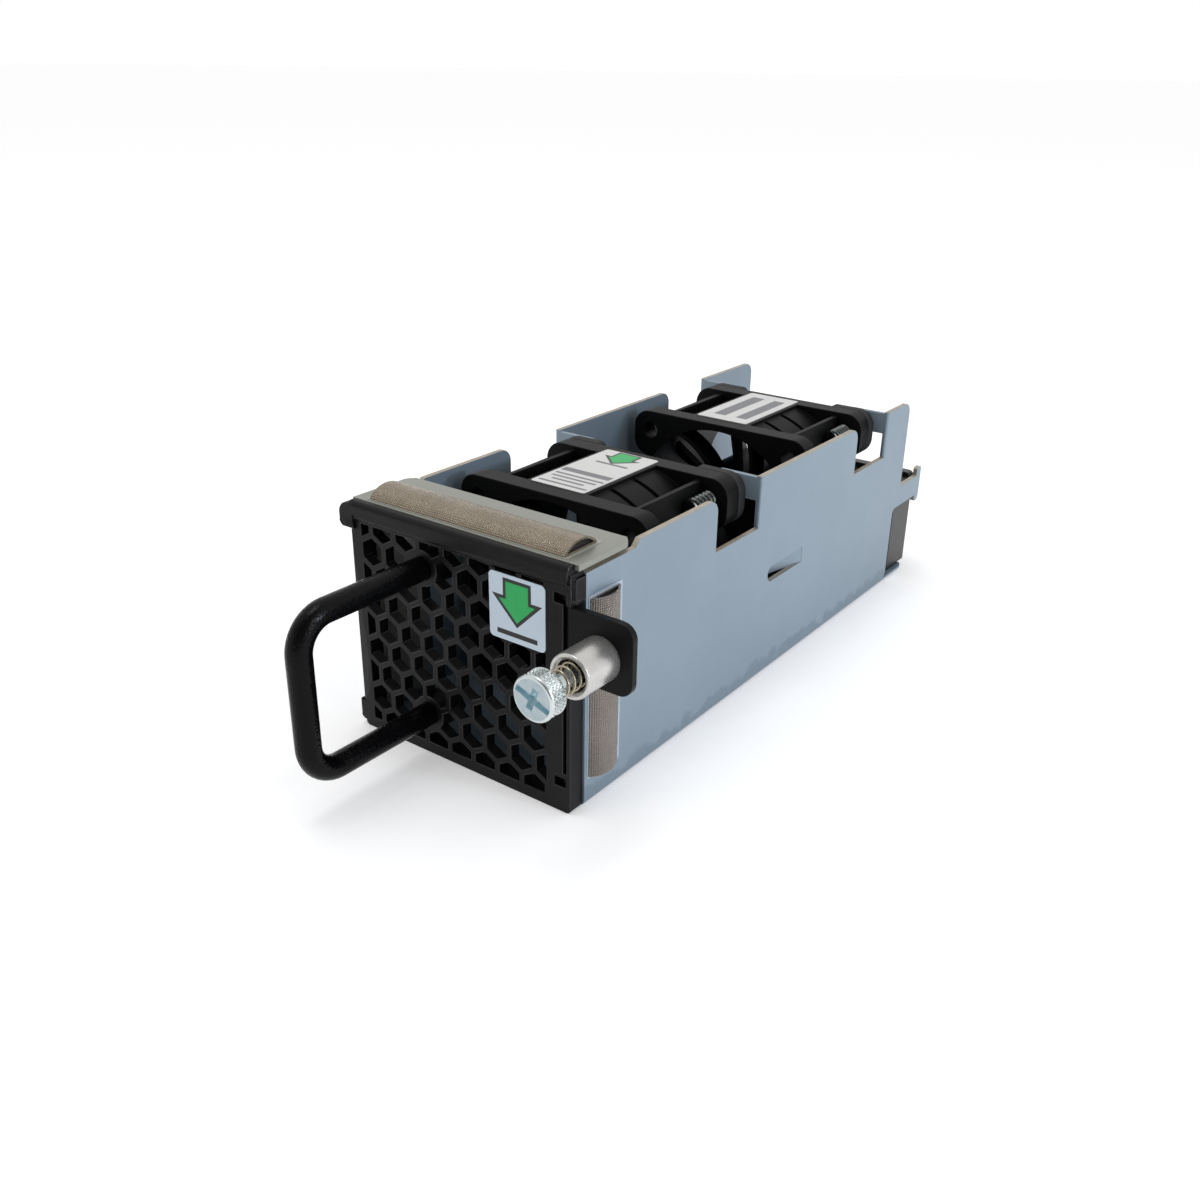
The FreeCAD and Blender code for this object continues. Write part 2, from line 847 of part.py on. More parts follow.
def flange(y_low):
    """The two lobed bands of a fan flange, above and below the duct, with their screw holes."""
    half = fan_size / 2
    y_high = y_low + fan_flange
    bands = []
    for level in (-1, 1):
        outer = fan_centre + level * half
        inner = outer - level * lobe_size
        face = rectangle(-half, half, min(outer, inner), max(outer, inner), lobe_corner)
        band = prism("front", face, y_low, y_high)
        for side in (-1, 1):
            spot_x = side * screw_pitch / 2
            spot_z = fan_centre + level * screw_pitch / 2
            band = band.cut(rod(spot_x, spot_z, y_low - 1, y_high + 1, screw_radius + screw_gap))
        bands.append(band)
    return bands


def duct_grooves(front):
    """Shallow rings sunk into the duct between the flanges."""
    grooves = []
    for step in range(duct_groove_count):
        low = front + duct_groove_front + step * duct_groove_pitch
        high = low + duct_groove_width
        grooves.append(ring(0, fan_centre, low, high, duct_radius + 1, duct_radius - duct_groove_depth))
    return Part.makeCompound(grooves)


def fan_fins(front):
    """Straight fins between the flanges and a flat seat for the label."""
    low = front + fan_flange
    high = front + fan_depth - fan_flange
    top = fan_centre + fan_size / 2
    fins = []
    for side in (-1, 1):
        centre = side * fin_place
        half = fin_thickness / 2
        fins.append(block(centre - half, centre + half, low, high, fan_centre, top - fin_inset))
        fins.append(block(centre - half, centre + half, low, high, 2 * fan_centre - top + fin_inset, fan_centre))
    fins.append(block(label_seat_left, label_seat_right, low, high, top - label_seat_depth - 1, top))
    return fins


def guide_vane(front):
    """One thin curved vane from the motor base to the duct, at the first vane's angle."""
    inner = motor_radius - 1
    outer = fan_bore + duct_wall / 2
    marks = []
    for radius in (inner, (inner + outer) / 2, outer):
        turn = math.radians(vane_start + vane_sweep * (radius - outer) / (outer - inner))
        half = vane_thickness / (2 * radius)
        marks.append([(radius * math.cos(turn + lean), radius * math.sin(turn + lean)) for lean in (-half, half)])
    near = [place("front", spots[0][0], spots[0][1], front) for spots in marks]
    far = [place("front", spots[1][0], spots[1][1], front) for spots in marks]
    edges = [
        Part.Arc(near[0], near[1], near[2]).toShape(), Part.LineSegment(near[2], far[2]).toShape(),
        Part.Arc(far[2], far[1], far[0]).toShape(), Part.LineSegment(far[0], near[0]).toShape(),
    ]
    return Part.Face(Part.Wire(edges)).extrude(AXIS_Y * vane_depth)


def motor_mount(front):
    """Motor base with its bearing tube, carried by curved guide vanes across the inlet."""
    tube_outer = bearing_radius + bearing_tube_wall
    parts = [rod(0, fan_centre, front, front + motor_base, motor_radius)]
    parts.append(rod(0, fan_centre, front, front + motor_base + bearing_tube_length, tube_outer))
    vane = guide_vane(front)
    board_room = ring(0, 0, front + motor_base, front + vane_depth + 1, motor_radius, tube_outer)
    vane = vane.cut(board_room)
    for step in range(vane_count):
        copy = vane.copy()
        copy.rotate(Vector(0, 0, 0), AXIS_Y, step * 360 / vane_count)
        copy.translate(Vector(0, 0, fan_centre))
        parts.append(copy)
    return parts


def fan_housing(front):
    """Moulded fan frame: grooved duct, two lobed flanges, fins and the motor mount."""
    rear = front + fan_depth
    duct = rod(0, fan_centre, front, rear, duct_radius).cut(duct_grooves(front))
    shell = joined(flange(front) + flange(rear - fan_flange) + [duct] + fan_fins(front))
    shell = shell.cut(rod(0, fan_centre, front - 1, rear + 1, fan_bore))
    whole = joined([shell] + motor_mount(front))
    bore = rod(0, fan_centre, front + motor_base, front + motor_base + bearing_tube_length + 1, bearing_radius)
    return whole.cut(bore)


def blade_section(level, sweep, thickness, front):
    """A curved blade section, drawn at a distance from the axis."""
    middle = (blade_front + blade_rear) / 2
    half = thickness / 2
    low = Vector(level, front + blade_front, -sweep)
    high = Vector(level, front + blade_rear, sweep)
    along = (high - low).normalize()
    across = Vector(0, -along.z, along.y)
    centre = Vector(level, front + middle, 0) + across * blade_camber
    upper = [low + across * half, centre + across * half, high + across * half]
    lower = [high - across * half, centre - across * half, low - across * half]
    return Part.Wire([
        Part.Arc(upper[0], upper[1], upper[2]).toShape(), Part.LineSegment(upper[2], lower[0]).toShape(),
        Part.Arc(lower[0], lower[1], lower[2]).toShape(), Part.LineSegment(lower[2], upper[0]).toShape(),
    ])


def impeller(front):
    """Hub cup with swept blades that stop short of the duct."""
    root = blade_section(hub_radius - blade_root_inset, blade_root_sweep, blade_root_thickness, front)
    tip = blade_section(blade_tip + blade_tip_outset, blade_tip_sweep, blade_tip_thickness, front)
    swept = Part.makeLoft([root, tip], True, True)
    band = ring(0, 0, front, front + fan_depth, blade_tip, hub_radius - hub_wall / 2)
    blade = swept.common(band)
    cup = ring(0, 0, front + hub_front, front + hub_rear, hub_radius, hub_radius - hub_wall)
    cap = rod(0, 0, front + hub_rear - hub_cap, front + hub_rear, hub_radius)
    boss = rod(0, 0, front + hub_rear - hub_cap - hub_boss_length, front + hub_rear - hub_cap, hub_boss)
    parts = [cup, cap, boss]
    for step in range(blade_count):
        copy = blade.copy()
        copy.rotate(Vector(0, 0, 0), AXIS_Y, step * 360 / blade_count)
        parts.append(copy)
    whole = joined(parts).cut(rod(0, 0, front, front + hub_rear - shaft_cover, shaft_radius))
    whole.translate(Vector(0, 0, fan_centre))
    return whole


def fan_shaft(front):
    """Steel shaft from the clip to the hub."""
    return rod(0, fan_centre, front + clip_front - shaft_stub, front + hub_rear - shaft_cover, shaft_radius)


def bearings(front):
    """Two bearings in the bearing tube."""
    pair = [ring(0, fan_centre, front + start, front + start + bearing_length, bearing_radius,
                 shaft_radius + shaft_gap) for start in (bearing_front, bearing_rear)]
    return Part.makeCompound(pair)


def rotor_yoke(front):
    """Steel ring pressed into the hub cup."""
    rear = front + hub_rear - hub_cap
    return ring(0, fan_centre, front + hub_front + yoke_setback, rear, yoke_outer, magnet_outer)


def magnet(front):
    """Ring magnet round the stator."""
    low = front + core_front - magnet_setback
    return ring(0, fan_centre, low, low + magnet_length, magnet_outer, pole_bore)


def stator_core(front):
    """Laminated core with four poles."""
    low = front + core_front
    high = low + core_length
    inner = bearing_radius + bearing_tube_wall
    parts = [ring(0, 0, low, high, core_hub, inner)]
    for step in range(4):
        arm = block(core_hub - core_lap, core_pole - core_lap, low, high, -core_arm / 2, core_arm / 2)
        shoe = ring(0, 0, low, high, core_pole, core_pole - pole_thickness)
        reach = core_pole * 2
        half_angle = math.radians(pole_angle / 2)
        wedge = prism("front", [
            (0, 0), (reach * math.cos(half_angle), -reach * math.sin(half_angle)),
            (reach * math.cos(half_angle), reach * math.sin(half_angle)),
        ], low - 1, high + 1)
        for piece in (arm, shoe.common(wedge)):
            piece.rotate(Vector(0, 0, 0), AXIS_Y, step * 90)
            parts.append(piece)
    core = joined(parts)
    core.translate(Vector(0, 0, fan_centre))
    return core


def coils(front):
    """One winding round each pole's arm."""
    low = front + core_front
    high = low + core_length
    half = core_arm / 2
    shoe_inner = core_pole - pole_thickness
    outer = math.sqrt(shoe_inner ** 2 - (half + coil_wall) ** 2) - trim_gap
    windings = []
    for step in range(4):
        winding = block(core_hub + coil_gap, outer, low - coil_wall, high + coil_wall, -half - coil_wall, half + coil_wall)
        winding = winding.cut(block(core_hub - 1, outer + 1, low, high, -half, half))
        winding.rotate(Vector(0, 0, 0), AXIS_Y, step * 90)
        winding.translate(Vector(0, 0, fan_centre))
        windings.append(winding)
    return Part.makeCompound(windings)


def circuit_board(front):
    """Round driver board on the motor base."""
    low = front + motor_base
    return ring(0, fan_centre, low, low + board_thickness, board_radius, bearing_radius + bearing_tube_wall)


def shaft_clip(front):
    """Retaining clip on the shaft's front end."""
    low = front + clip_front
    return ring(0, fan_centre, low, low + clip_thickness, clip_radius, shaft_radius)


def fan_label(front):
    """Plain sticker on the label seat."""
    top = fan_centre + fan_size / 2
    right = fan_label_left + fan_label_width
    low = front + fan_label_front
    corners = rectangle(fan_label_left, right, low, low + fan_label_length, fan_label_corner)
    return prism("top", corners, top, top + label_thickness)


def dampers(front):
    """Rubber pads between the rear flange and the tabs."""
    low = front + fan_depth
    half = fan_size / 2
    top = fan_centre + half
    pad = prism("front", [
        (half - lobe_size, top - lobe_size, damper_corner), (half, top - lobe_size, lobe_corner),
        (half, top, lobe_corner), (half - lobe_size, top, damper_corner),
    ], low, low + damper_thickness)
    pad = pad.cut(rod(screw_pitch / 2, screw_level, low - 1, low + 5, screw_radius + screw_gap))
    return Part.makeCompound([pad, mirrored(pad)])


def fan_screws(front):
    """Two screws from behind, through the tab, the pad and the rear flange."""
    tab_rear = front + tab_front_offset + sheet
    tip = front + fan_depth - screw_reach
    profile = [
        (0, tip), (screw_radius - screw_point, tip), (screw_radius, tip + screw_point), (screw_radius, tab_rear),
        (screw_head_radius, tab_rear),
        (screw_head_radius - screw_head_edge, tab_rear + screw_head_height - screw_head_edge),
        (screw_head_radius - screw_head_dome, tab_rear + screw_head_height), (0, tab_rear + screw_head_height),
    ]
    screw = turned(profile, screw_pitch / 2, screw_level)
    half_slot = recess_width / 2
    half_span = screw_recess_span / 2
    deep = tab_rear + screw_head_height - screw_recess_depth
    far = tab_rear + screw_head_height + 1
    x = screw_pitch / 2
    cross = [
        block(x - half_span, x + half_span, deep, far, screw_level - half_slot, screw_level + half_slot),
        block(x - half_slot, x + half_slot, deep, far, screw_level - half_span, screw_level + half_span),
    ]
    screw = screw.cut(cross)
    return Part.makeCompound([screw, mirrored(screw)])


fan_pieces = {
    "housing": fan_housing, "impeller": impeller, "shaft": fan_shaft, "bearings": bearings,
    "rotor_yoke": rotor_yoke, "magnet": magnet, "stator_core": stator_core, "coils": coils,
    "circuit_board": circuit_board, "shaft_clip": shaft_clip, "label": fan_label,
    "dampers": dampers, "screws": fan_screws,
}


# Rear connector

def nose_span():
    """Left and right ends of the connector's nose."""
    return connector_left + connector_nose_margin, connector_right - connector_nose_margin


def connector_screw_spots():
    """Screw places on the connector's flange."""
    middle = (connector_left + connector_right) / 2
    level = connector_top - connector_screw_drop
    return [(middle - connector_screw_span / 2, level), (middle + connector_screw_span / 2, level)]


def rear_connector_housing():
    """Moulded plug housing on the floor, with a nose that mates as the tray slides in."""
    left, right = nose_span()
    plate_front = connector_rear - connector_flange
    face = rectangle(connector_left, connector_right, sheet, connector_top, connector_corner)
    plate = prism("front", face, plate_front, connector_rear)
    foot = block(
        connector_left + connector_corner, connector_right - connector_corner,
        connector_front, connector_rear, sheet, sheet + connector_foot)
    web = block(
        connector_right - connector_web, connector_right, connector_front, connector_rear,
        fold_radius, connector_top - connector_corner)
    nose = prism("front", rectangle(left, right, nose_low, nose_high, connector_wall), connector_front, nose_rear)
    wall = connector_wall
    inside = rectangle(left + wall, right - wall, nose_low + wall, nose_high - wall, wall / 2)
    cuts = [prism("front", inside, connector_rear + connector_pocket_floor, nose_rear + 1)]
    cuts += [rod(x, z, plate_front - 1, connector_rear + 1, connector_screw_radius + trim_gap)
             for x, z in connector_screw_spots()]
    cuts += contact_blocks(trim_gap)
    return joined([plate, foot, web, nose]).cut(Part.makeCompound(cuts))


def contact_blocks(margin):
    """Flat contacts in a row, each through the housing's back."""
    left, right = nose_span()
    pitch = (right - left - 4 * connector_wall) / contact_count
    level = (nose_low + nose_high) / 2
    half_height = contact_thickness / 2 + margin
    half_width_here = contact_width / 2 + margin
    contacts = []
    for step in range(contact_count):
        x = (left + right) / 2 + (step - (contact_count - 1) / 2) * pitch
        contacts.append(block(
            x - half_width_here, x + half_width_here, connector_front - contact_tail - margin,
            nose_rear - contact_setback, level - half_height, level + half_height))
    return contacts


def rear_connector_screws():
    """Two screws through the connector's flange into its nuts."""
    plate_front = connector_rear - connector_flange
    nut_front = plate_front - connector_nut_height
    screws = []
    for x, z in connector_screw_spots():
        shank = rod(x, z, nut_front - connector_screw_end, connector_rear, connector_screw_radius)
        head = rod(x, z, connector_rear, connector_rear + connector_screw_head_height, connector_screw_head)
        nut = prism("front", hexagon(x, z, connector_nut_flats, 0), nut_front, plate_front)
        screws.append(joined([shank, head, nut]))
    return Part.makeCompound(screws)


def main():
    """Build and write every node."""
    os.makedirs("parts", exist_ok=True)
    save("tray", tray())
    save("front_frame", front_frame())
    save("bezel", bezel())
    save("handle", handle())
    save("handle_nuts", handle_nuts())
    save("ear_bracket", ear_bracket())
    save("captive_barrel", captive_barrel())
    save("captive_screw", captive_screw())
    save("captive_washer", captive_washer())
    save("captive_spring", captive_spring())
    save("top_gasket", top_gasket())
    save("side_gasket", side_gasket())
    save("front_label", front_label())
    save("rear_connector_housing", rear_connector_housing())
    save("rear_connector_contacts", Part.makeCompound(contact_blocks(0)))
    save("rear_connector_screws", rear_connector_screws())
    for number, front in enumerate((first_fan_front, first_fan_front + fan_spacing), start=1):
        for piece, build in fan_pieces.items():
            save(f"fan_{number}_{piece}", build(front))


main()
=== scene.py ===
"""Switch fan tray: the looks of two small fans in a folded steel channel behind a honeycomb front."""

import logging
import math
from dataclasses import dataclass, replace
from enum import Enum
from functools import cache
from typing import Any, Callable, Mapping, Sequence

import bmesh
import bpy
import numpy as np
from mathutils import Matrix, Vector


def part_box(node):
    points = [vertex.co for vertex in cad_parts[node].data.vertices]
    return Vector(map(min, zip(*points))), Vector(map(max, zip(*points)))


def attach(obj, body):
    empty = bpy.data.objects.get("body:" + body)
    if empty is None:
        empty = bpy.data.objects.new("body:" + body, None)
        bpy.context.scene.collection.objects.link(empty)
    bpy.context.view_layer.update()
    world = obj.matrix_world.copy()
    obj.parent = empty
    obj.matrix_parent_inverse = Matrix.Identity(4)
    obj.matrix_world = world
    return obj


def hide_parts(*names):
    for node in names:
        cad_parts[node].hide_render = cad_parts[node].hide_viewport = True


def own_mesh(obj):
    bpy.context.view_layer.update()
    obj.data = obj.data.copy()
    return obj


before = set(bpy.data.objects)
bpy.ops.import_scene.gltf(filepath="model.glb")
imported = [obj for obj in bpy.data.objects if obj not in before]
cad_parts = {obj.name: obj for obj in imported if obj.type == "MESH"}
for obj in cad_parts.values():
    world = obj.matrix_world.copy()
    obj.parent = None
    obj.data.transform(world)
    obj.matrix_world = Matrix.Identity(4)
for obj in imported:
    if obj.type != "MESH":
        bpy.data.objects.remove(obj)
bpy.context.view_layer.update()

LOG = logging.getLogger("fan_tray")
MM = 0.001
TRAY = "tray_assembly"
# In mm: Y of the bezel's front, X and Z of the captive screw's axis, and Z of the fan labels' printed face.
FRONT = -63.5
CAPTIVE_AXIS = (27.8, 28.9)
LABEL_TOP = 41.12


def linear(code: str, alpha: float = 1.0) -> tuple[float, float, float, float]:
    """Turns an sRGB hex colour to Blender's linear colour."""
    parts = [int(code[place:place + 2], 16) / 255 for place in (0, 2, 4)]
    red, green, blue = [part / 12.92 if part <= 0.04045 else ((part + 0.055) / 1.055) ** 2.4 for part in parts]
    return red, green, blue, alpha


def add(tree: bpy.types.NodeTree, kind: str, links: Mapping[Any, Any] | None = None,
        sockets: Mapping[Any, Any] | None = None, **settings: Any) -> bpy.types.Node:
    """Adds a node with its settings and links.

    Args:
        tree: node tree that takes the node.
        kind: node type without its ShaderNode prefix.
        links: output socket for each input, by the input's name or number.
        sockets: constant for each input, by its name or number.
        settings: attributes of the node itself.

    Returns:
        The new node.
    """
    made = tree.nodes.new("ShaderNode" + kind)
    for name, value in settings.items():
        setattr(made, name, value)
    for name, value in (sockets or {}).items():
        made.inputs[name].default_value = value
    for name, source in (links or {}).items():
        tree.links.new(source, made.inputs[name])
    return made


def shaded(name: str) -> tuple[bpy.types.Material, bpy.types.NodeTree, bpy.types.Node]:
    """Makes a material, and gives it with its node tree and its shader."""
    material = bpy.data.materials.new(name)
    material.use_nodes = True
    return material, material.node_tree, material.node_tree.nodes["Principled BSDF"]


def placed(name: str, data: bpy.types.ID) -> bpy.types.Object:
    """Makes an object of a mesh, light or camera and puts it into the scene."""
    made = bpy.data.objects.new(name, data)
    bpy.context.scene.collection.objects.link(made)
    return made


class Pattern(Enum):
    """What the surface of a finish is like close up."""

    GRAIN = "fine even grain of a mould or a casting"
    ROLLED = "long faint streaks of rolled sheet"
    TURNED = "fine rings left by a lathe tool"
    SPECKLE = "small raised drops of powder coat"
    WEAVE = "plain weave that follows the piece"
    WOUND = "turns of wire side by side"


@dataclass(frozen=True)
class Finish:
    """A finish: what it is made of, and how its surface was made.

    The colour leans to the tint in soft clouds, the roughness varies round its middle value, and
    the pattern gives the bump at its real size in millimetres.
    """

    name: str
    slot: str
    colour: str
    tint: str
    metallic: float
    roughness: float
    size_mm: float
    relief_mm: float
    cloud_mm: float = 6.0
    cloud_share: float = 0.5
    rough_spread: float = 0.06
    ior: float = 1.5
    pattern: Pattern = Pattern.GRAIN
    low_tone: str = ""
    low_tone_top_mm: float = 2.4

    def darkened_low(self, tree: bpy.types.NodeTree, place: bpy.types.NodeSocket,
                colour: bpy.types.NodeSocket) -> bpy.types.NodeSocket:
        """Darkens the colour low down, up to a ragged line."""
        ragged = add(tree, "TexNoise", {"Vector": place}, {"Scale": 280.0, "Detail": 2.0})
        level = add(tree, "SeparateXYZ", {"Vector": place})
        ripple_mm, blur_mm = 7.0, 1.2
        drop = add(tree, "Math", {0: ragged.outputs["Fac"], 2: level.outputs["Z"]}, {1: -ripple_mm * MM},
                   operation="MULTIPLY_ADD")
        edge = (self.low_tone_top_mm - ripple_mm / 2) * MM
        share = add(tree, "MapRange", {"Value": drop.outputs[0]},
                    {"From Min": edge, "From Max": edge + blur_mm * MM, "To Min": 0.85, "To Max": 0.0})
        return add(tree, "Mix", {0: share.outputs[0], 6: colour}, {7: linear(self.low_tone)},
                   data_type="RGBA").outputs[2]

    def height(self, tree: bpy.types.NodeTree) -> bpy.types.NodeSocket:
        """Gives the socket that carries the bump's height between 0 and 1."""
        place = add(tree, "TexCoord")
        scale = 1 / (self.size_mm * MM)
        stretch = {
            Pattern.ROLLED: (scale, scale / 60, scale),
            Pattern.TURNED: (scale / 40, scale, scale / 40),
        }.get(self.pattern, (scale, scale, scale))
        if self.pattern is Pattern.WEAVE:
            flat = add(tree, "Mapping", {"Vector": place.outputs["UV"]},
                       {"Scale": (1 / self.size_mm, 1 / self.size_mm, 1)})
            yarns = [add(tree, "TexWave", {"Vector": flat.outputs[0]}, {"Scale": 0.5, "Distortion": 0.6},
                         bands_direction=way).outputs["Fac"] for way in "XY"]
            return add(tree, "Math", dict(enumerate(yarns)), operation="MULTIPLY").outputs[0]
        spot = add(tree, "Mapping", {"Vector": place.outputs["Object"]}, {"Scale": stretch})
        if self.pattern is Pattern.WOUND:
            return add(tree, "TexWave", {"Vector": spot.outputs[0]}, {"Scale": 0.5, "Distortion": 0.8},
                       bands_direction="Y").outputs["Fac"]
        if self.pattern is Pattern.SPECKLE:
            drops = add(tree, "TexVoronoi", {"Vector": spot.outputs[0]}, {"Scale": 1.0},
                        feature="SMOOTH_F1")
            return add(tree, "Math", {1: drops.outputs["Distance"]}, {0: 1.0}, operation="SUBTRACT").outputs[0]
        return add(tree, "TexNoise", {"Vector": spot.outputs[0]},
                   {"Scale": 1.0, "Detail": 3.0, "Roughness": 0.6}).outputs["Fac"]

    @cache
    def build(self) -> bpy.types.Material:
        """Makes the material once, with its colour, gloss and bump, and then hands it out."""
        material, tree, shader = shaded(self.name)
        shader.inputs["Metallic"].default_value = self.metallic
        if self.metallic < 0.5:
            shader.inputs["IOR"].default_value = self.ior
        place = add(tree, "TexCoord")
        wide = 1 / (self.cloud_mm * MM)
        clouds = add(tree, "TexNoise", {"Vector": place.outputs["Object"]},
                     {"Scale": wide, "Detail": 4.0, "Roughness": 0.55})
        share = add(tree, "MapRange", {"Value": clouds.outputs["Fac"]},
                    {"From Min": 0.35, "From Max": 0.65, "To Min": 0.0, "To Max": self.cloud_share})
        mixed = add(tree, "Mix", {0: share.outputs[0]}, {6: linear(self.colour), 7: linear(self.tint)},
                    data_type="RGBA")
        height = self.height(tree)
        gloss = add(tree, "MapRange", {"Value": height},
                    {"To Min": self.roughness - self.rough_spread, "To Max": self.roughness + self.rough_spread})
        bump = add(tree, "Bump", {"Height": height}, {"Strength": 1.0, "Distance": self.relief_mm * MM})
        colour = mixed.outputs[2]
        if self.low_tone:
            colour = self.darkened_low(tree, place.outputs["Object"], colour)
        tree.links.new(colour, shader.inputs["Base Color"])
        tree.links.new(gloss.outputs[0], shader.inputs["Roughness"])
        tree.links.new(bump.outputs[0], shader.inputs["Normal"])
        return material


# Zinc-coated sheet steel, cold rolled: an even blue-grey satin with faint streaks along the sheet, darker low down up
# to a ragged line.
ZINC_SHEET = Finish("zinc_coated_sheet", "zinc_plated_steel", "83939F", "7A8A96", 0.35, 0.42, 0.25, 0.002, 18.0, 0.6,
                    low_tone="6F7F8B", pattern=Pattern.ROLLED)
# The bare sheared edge of that sheet: a thin warm line where the cut shows the steel.
SHEARED_EDGE = Finish("sheared_steel_edge", "zinc_plated_steel", "B3A898", "8E867C", 0.6, 0.5, 0.15, 0.006, 2.0)
# Nickel-plated sheet of the front frame: a warmer pale grey with a soft sheen.
FRAME_SHEET = Finish("plated_frame_sheet", "frame_steel", "8F9087", "858780", 0.4, 0.4, 0.25, 0.002, 12.0, 0.5,
                     pattern=Pattern.ROLLED)
# Moulded polycarbonate blend with a spark-eroded texture: charcoal, with small soft glints.
BEZEL_MOULDING = Finish("textured_moulding", "black_moulding", "0E0E10", "151517", 0.0, 0.42, 0.16, 0.03, 4.0, 0.5,
                        0.1, 1.24)
# The same moulding on its eased edges, smoother and glossier, with a colour a shade lighter as a painted highlight
# where they glint.
GLINT_EDGE_MOULDING = Finish("moulding_edge_painted_glint", "black_moulding", "131315", "1B1B1D", 0.0, 0.2, 0.3, 0.01, 2.0, 0.6,
                       0.05, 1.4)
# Glass-filled polyester of a fan frame: black, slightly brown where the light grazes it.
FAN_MOULDING = Finish("fan_frame_moulding", "fan_moulding", "0A0A09", "0F0F0E", 0.0, 0.46, 0.22, 0.012, 5.0, 0.6,
                      0.08, 1.2)
# The same polyester, smoother, on the blades.
BLADE_MOULDING = Finish("fan_blade_moulding", "fan_moulding", "0C0C0C", "121212", 0.0, 0.5, 0.4, 0.006, 6.0, ior=1.3)
# Powder coat baked on steel rod: black drops that sparkle along the lit side.
POWDER_COAT = Finish("black_powder_coat", "black_coating", "060607", "0B0B0D", 0.0, 0.2, 0.32, 0.06, 3.0, 0.5, 0.1,
                     1.2, pattern=Pattern.SPECKLE)
# The same coat, sprayed thinner on the flat ear.
EAR_COAT = Finish("thin_black_coat", "black_coating", "0F0F10", "141415", 0.0, 0.38, 0.28, 0.02, 5.0, 0.5, 0.08, 1.2,
                  pattern=Pattern.SPECKLE)
# Turned aluminium: bright, with rings of tool marks that draw the light across.
TURNED_ALUMINIUM = Finish("turned_aluminium", "turned_aluminium", "CBC9C5", "BBB9B6", 0.8, 0.27, 0.12, 0.005, 3.0,
                          pattern=Pattern.TURNED)
# White zinc plating with a clear passivate on small screws: silvery, a little greenish.
ZINC_SCREW = Finish("zinc_plated_screw", "zinc_plated_screw", "D2D8D7", "B9C4C4", 0.9, 0.24, 0.2, 0.006, 1.5, 0.6)
# The same plating on the faced end of the captive screw, in a greyer copy: painted shade for the darker light the face
# takes.
SHADED_FACE_ZINC = Finish("zinc_face_painted_shade", "zinc_plated_screw", "AEB8BE", "9CABB0", 0.85, 0.32, 0.5, 0.012, 1.2, 0.8)
# Zinc of the nuts behind the grille, painted dark as the shade they sit in there.
SHADED_NUT_ZINC = Finish("nut_zinc_painted_shade", "zinc_plated_screw", "3A3C3E", "2C2E2F", 0.85, 0.42, 0.2, 0.006, 1.5)
# Zinc on the coarse fixing screws: dull grey.
DULL_ZINC = Finish("dull_zinc", "zinc_plated_screw", "9BA09F", "858B8A", 0.95, 0.26, 0.2, 0.006, 1.5, 0.6)
# Root of their thread, painted dark as the shade that falls deep between the turns.
ROOT_SHADE_ZINC = Finish("thread_root_painted_shade", "zinc_plated_screw", "1C1D1E", "131415", 0.5, 0.45, 0.2, 0.006, 1.5)
# The same plating where the passivate pools in a recess: pale blue.
PASSIVATED = Finish("blue_passivated_zinc", "zinc_plated_screw", "B9D6DE", "93BECC", 0.35, 0.35, 0.2, 0.006, 0.8)
# Hard-drawn spring wire: grey with a straw tinge.
SPRING_WIRE = Finish("spring_wire", "spring_steel", "B5AB95", "9C9484", 1.0, 0.25, 0.08, 0.002, 1.0,
                     pattern=Pattern.TURNED)
# Copper and nickel plated taffeta over foam: a beige metal cloth with tiny sparks. Its yarns are drawn at
# 0.6 mm, coarser than the real 0.15 mm, so that the sparks still show at the photograph's distance.
PLATED_CLOTH = Finish("plated_taffeta", "conductive_fabric", "9A8D7B", "867A69", 0.75, 0.38, 0.6, 0.22, 5.0, 0.6, 0.2,
                      pattern=Pattern.WEAVE)
# The same cloth on the side seal, a little greyer: painted shade for the side face, which takes less light than the
# top.
SHADED_SIDE_CLOTH = replace(PLATED_CLOTH, name="plated_taffeta_side_painted_shade", colour="8E867F", tint="7B746D")
# Adhesive strips under the seals: thin and translucent, so they take after the sheet below.
TOP_ADHESIVE = Finish("adhesive_on_frame", "conductive_fabric", "9FA097", "94958D", 0.0, 0.35, 0.5, 0.003, 4.0)
SIDE_ADHESIVE = Finish("adhesive_on_zinc", "conductive_fabric", "A6B3BE", "99A7B3", 0.0, 0.35, 0.5, 0.003, 4.0)
# Foam core of the seals, seen at their cut ends: dark, its own colour and painted shade of the hollow ends together.
FOAM_AND_SHADE = Finish("foam_core_and_painted_shade", "conductive_fabric", "2B2723", "1E1B18", 0.0, 0.9, 0.35, 0.05, 1.0, 0.8)
# Soft rubber of the pads behind the fans.
RUBBER = Finish("damper_rubber", "damper_rubber", "101010", "171717", 0.0, 0.72, 0.25, 0.02, 3.0)
# Coated paper of the stickers: smooth. The trace of blue in the front one is a painted tint of the cool light on the
# front.
COOL_LIT_STICKER = Finish("coated_sticker_painted_cool_light", "label_stock", "C6D5E2", "BFCEDB", 0.0, 0.35, 0.4, 0.002, 8.0, 0.4, 0.05)
TOP_STICKER = Finish("matt_sticker", "label_stock", "D3D2D0", "CAC9C8", 0.0, 0.5, 0.4, 0.002, 8.0, 0.4, 0.05)
# Screen inks on the stickers.
GREEN_INK = Finish("green_ink", "label_stock", "14AD57", "129F4F", 0.0, 0.45, 0.3, 0.002, 3.0)
BLACK_INK = Finish("black_ink", "label_stock", "121314", "191A1B", 0.0, 0.4, 0.3, 0.002, 3.0)
GREY_INK = Finish("grey_ink", "label_stock", "77787B", "6C6D70", 0.0, 0.5, 0.3, 0.002, 3.0)
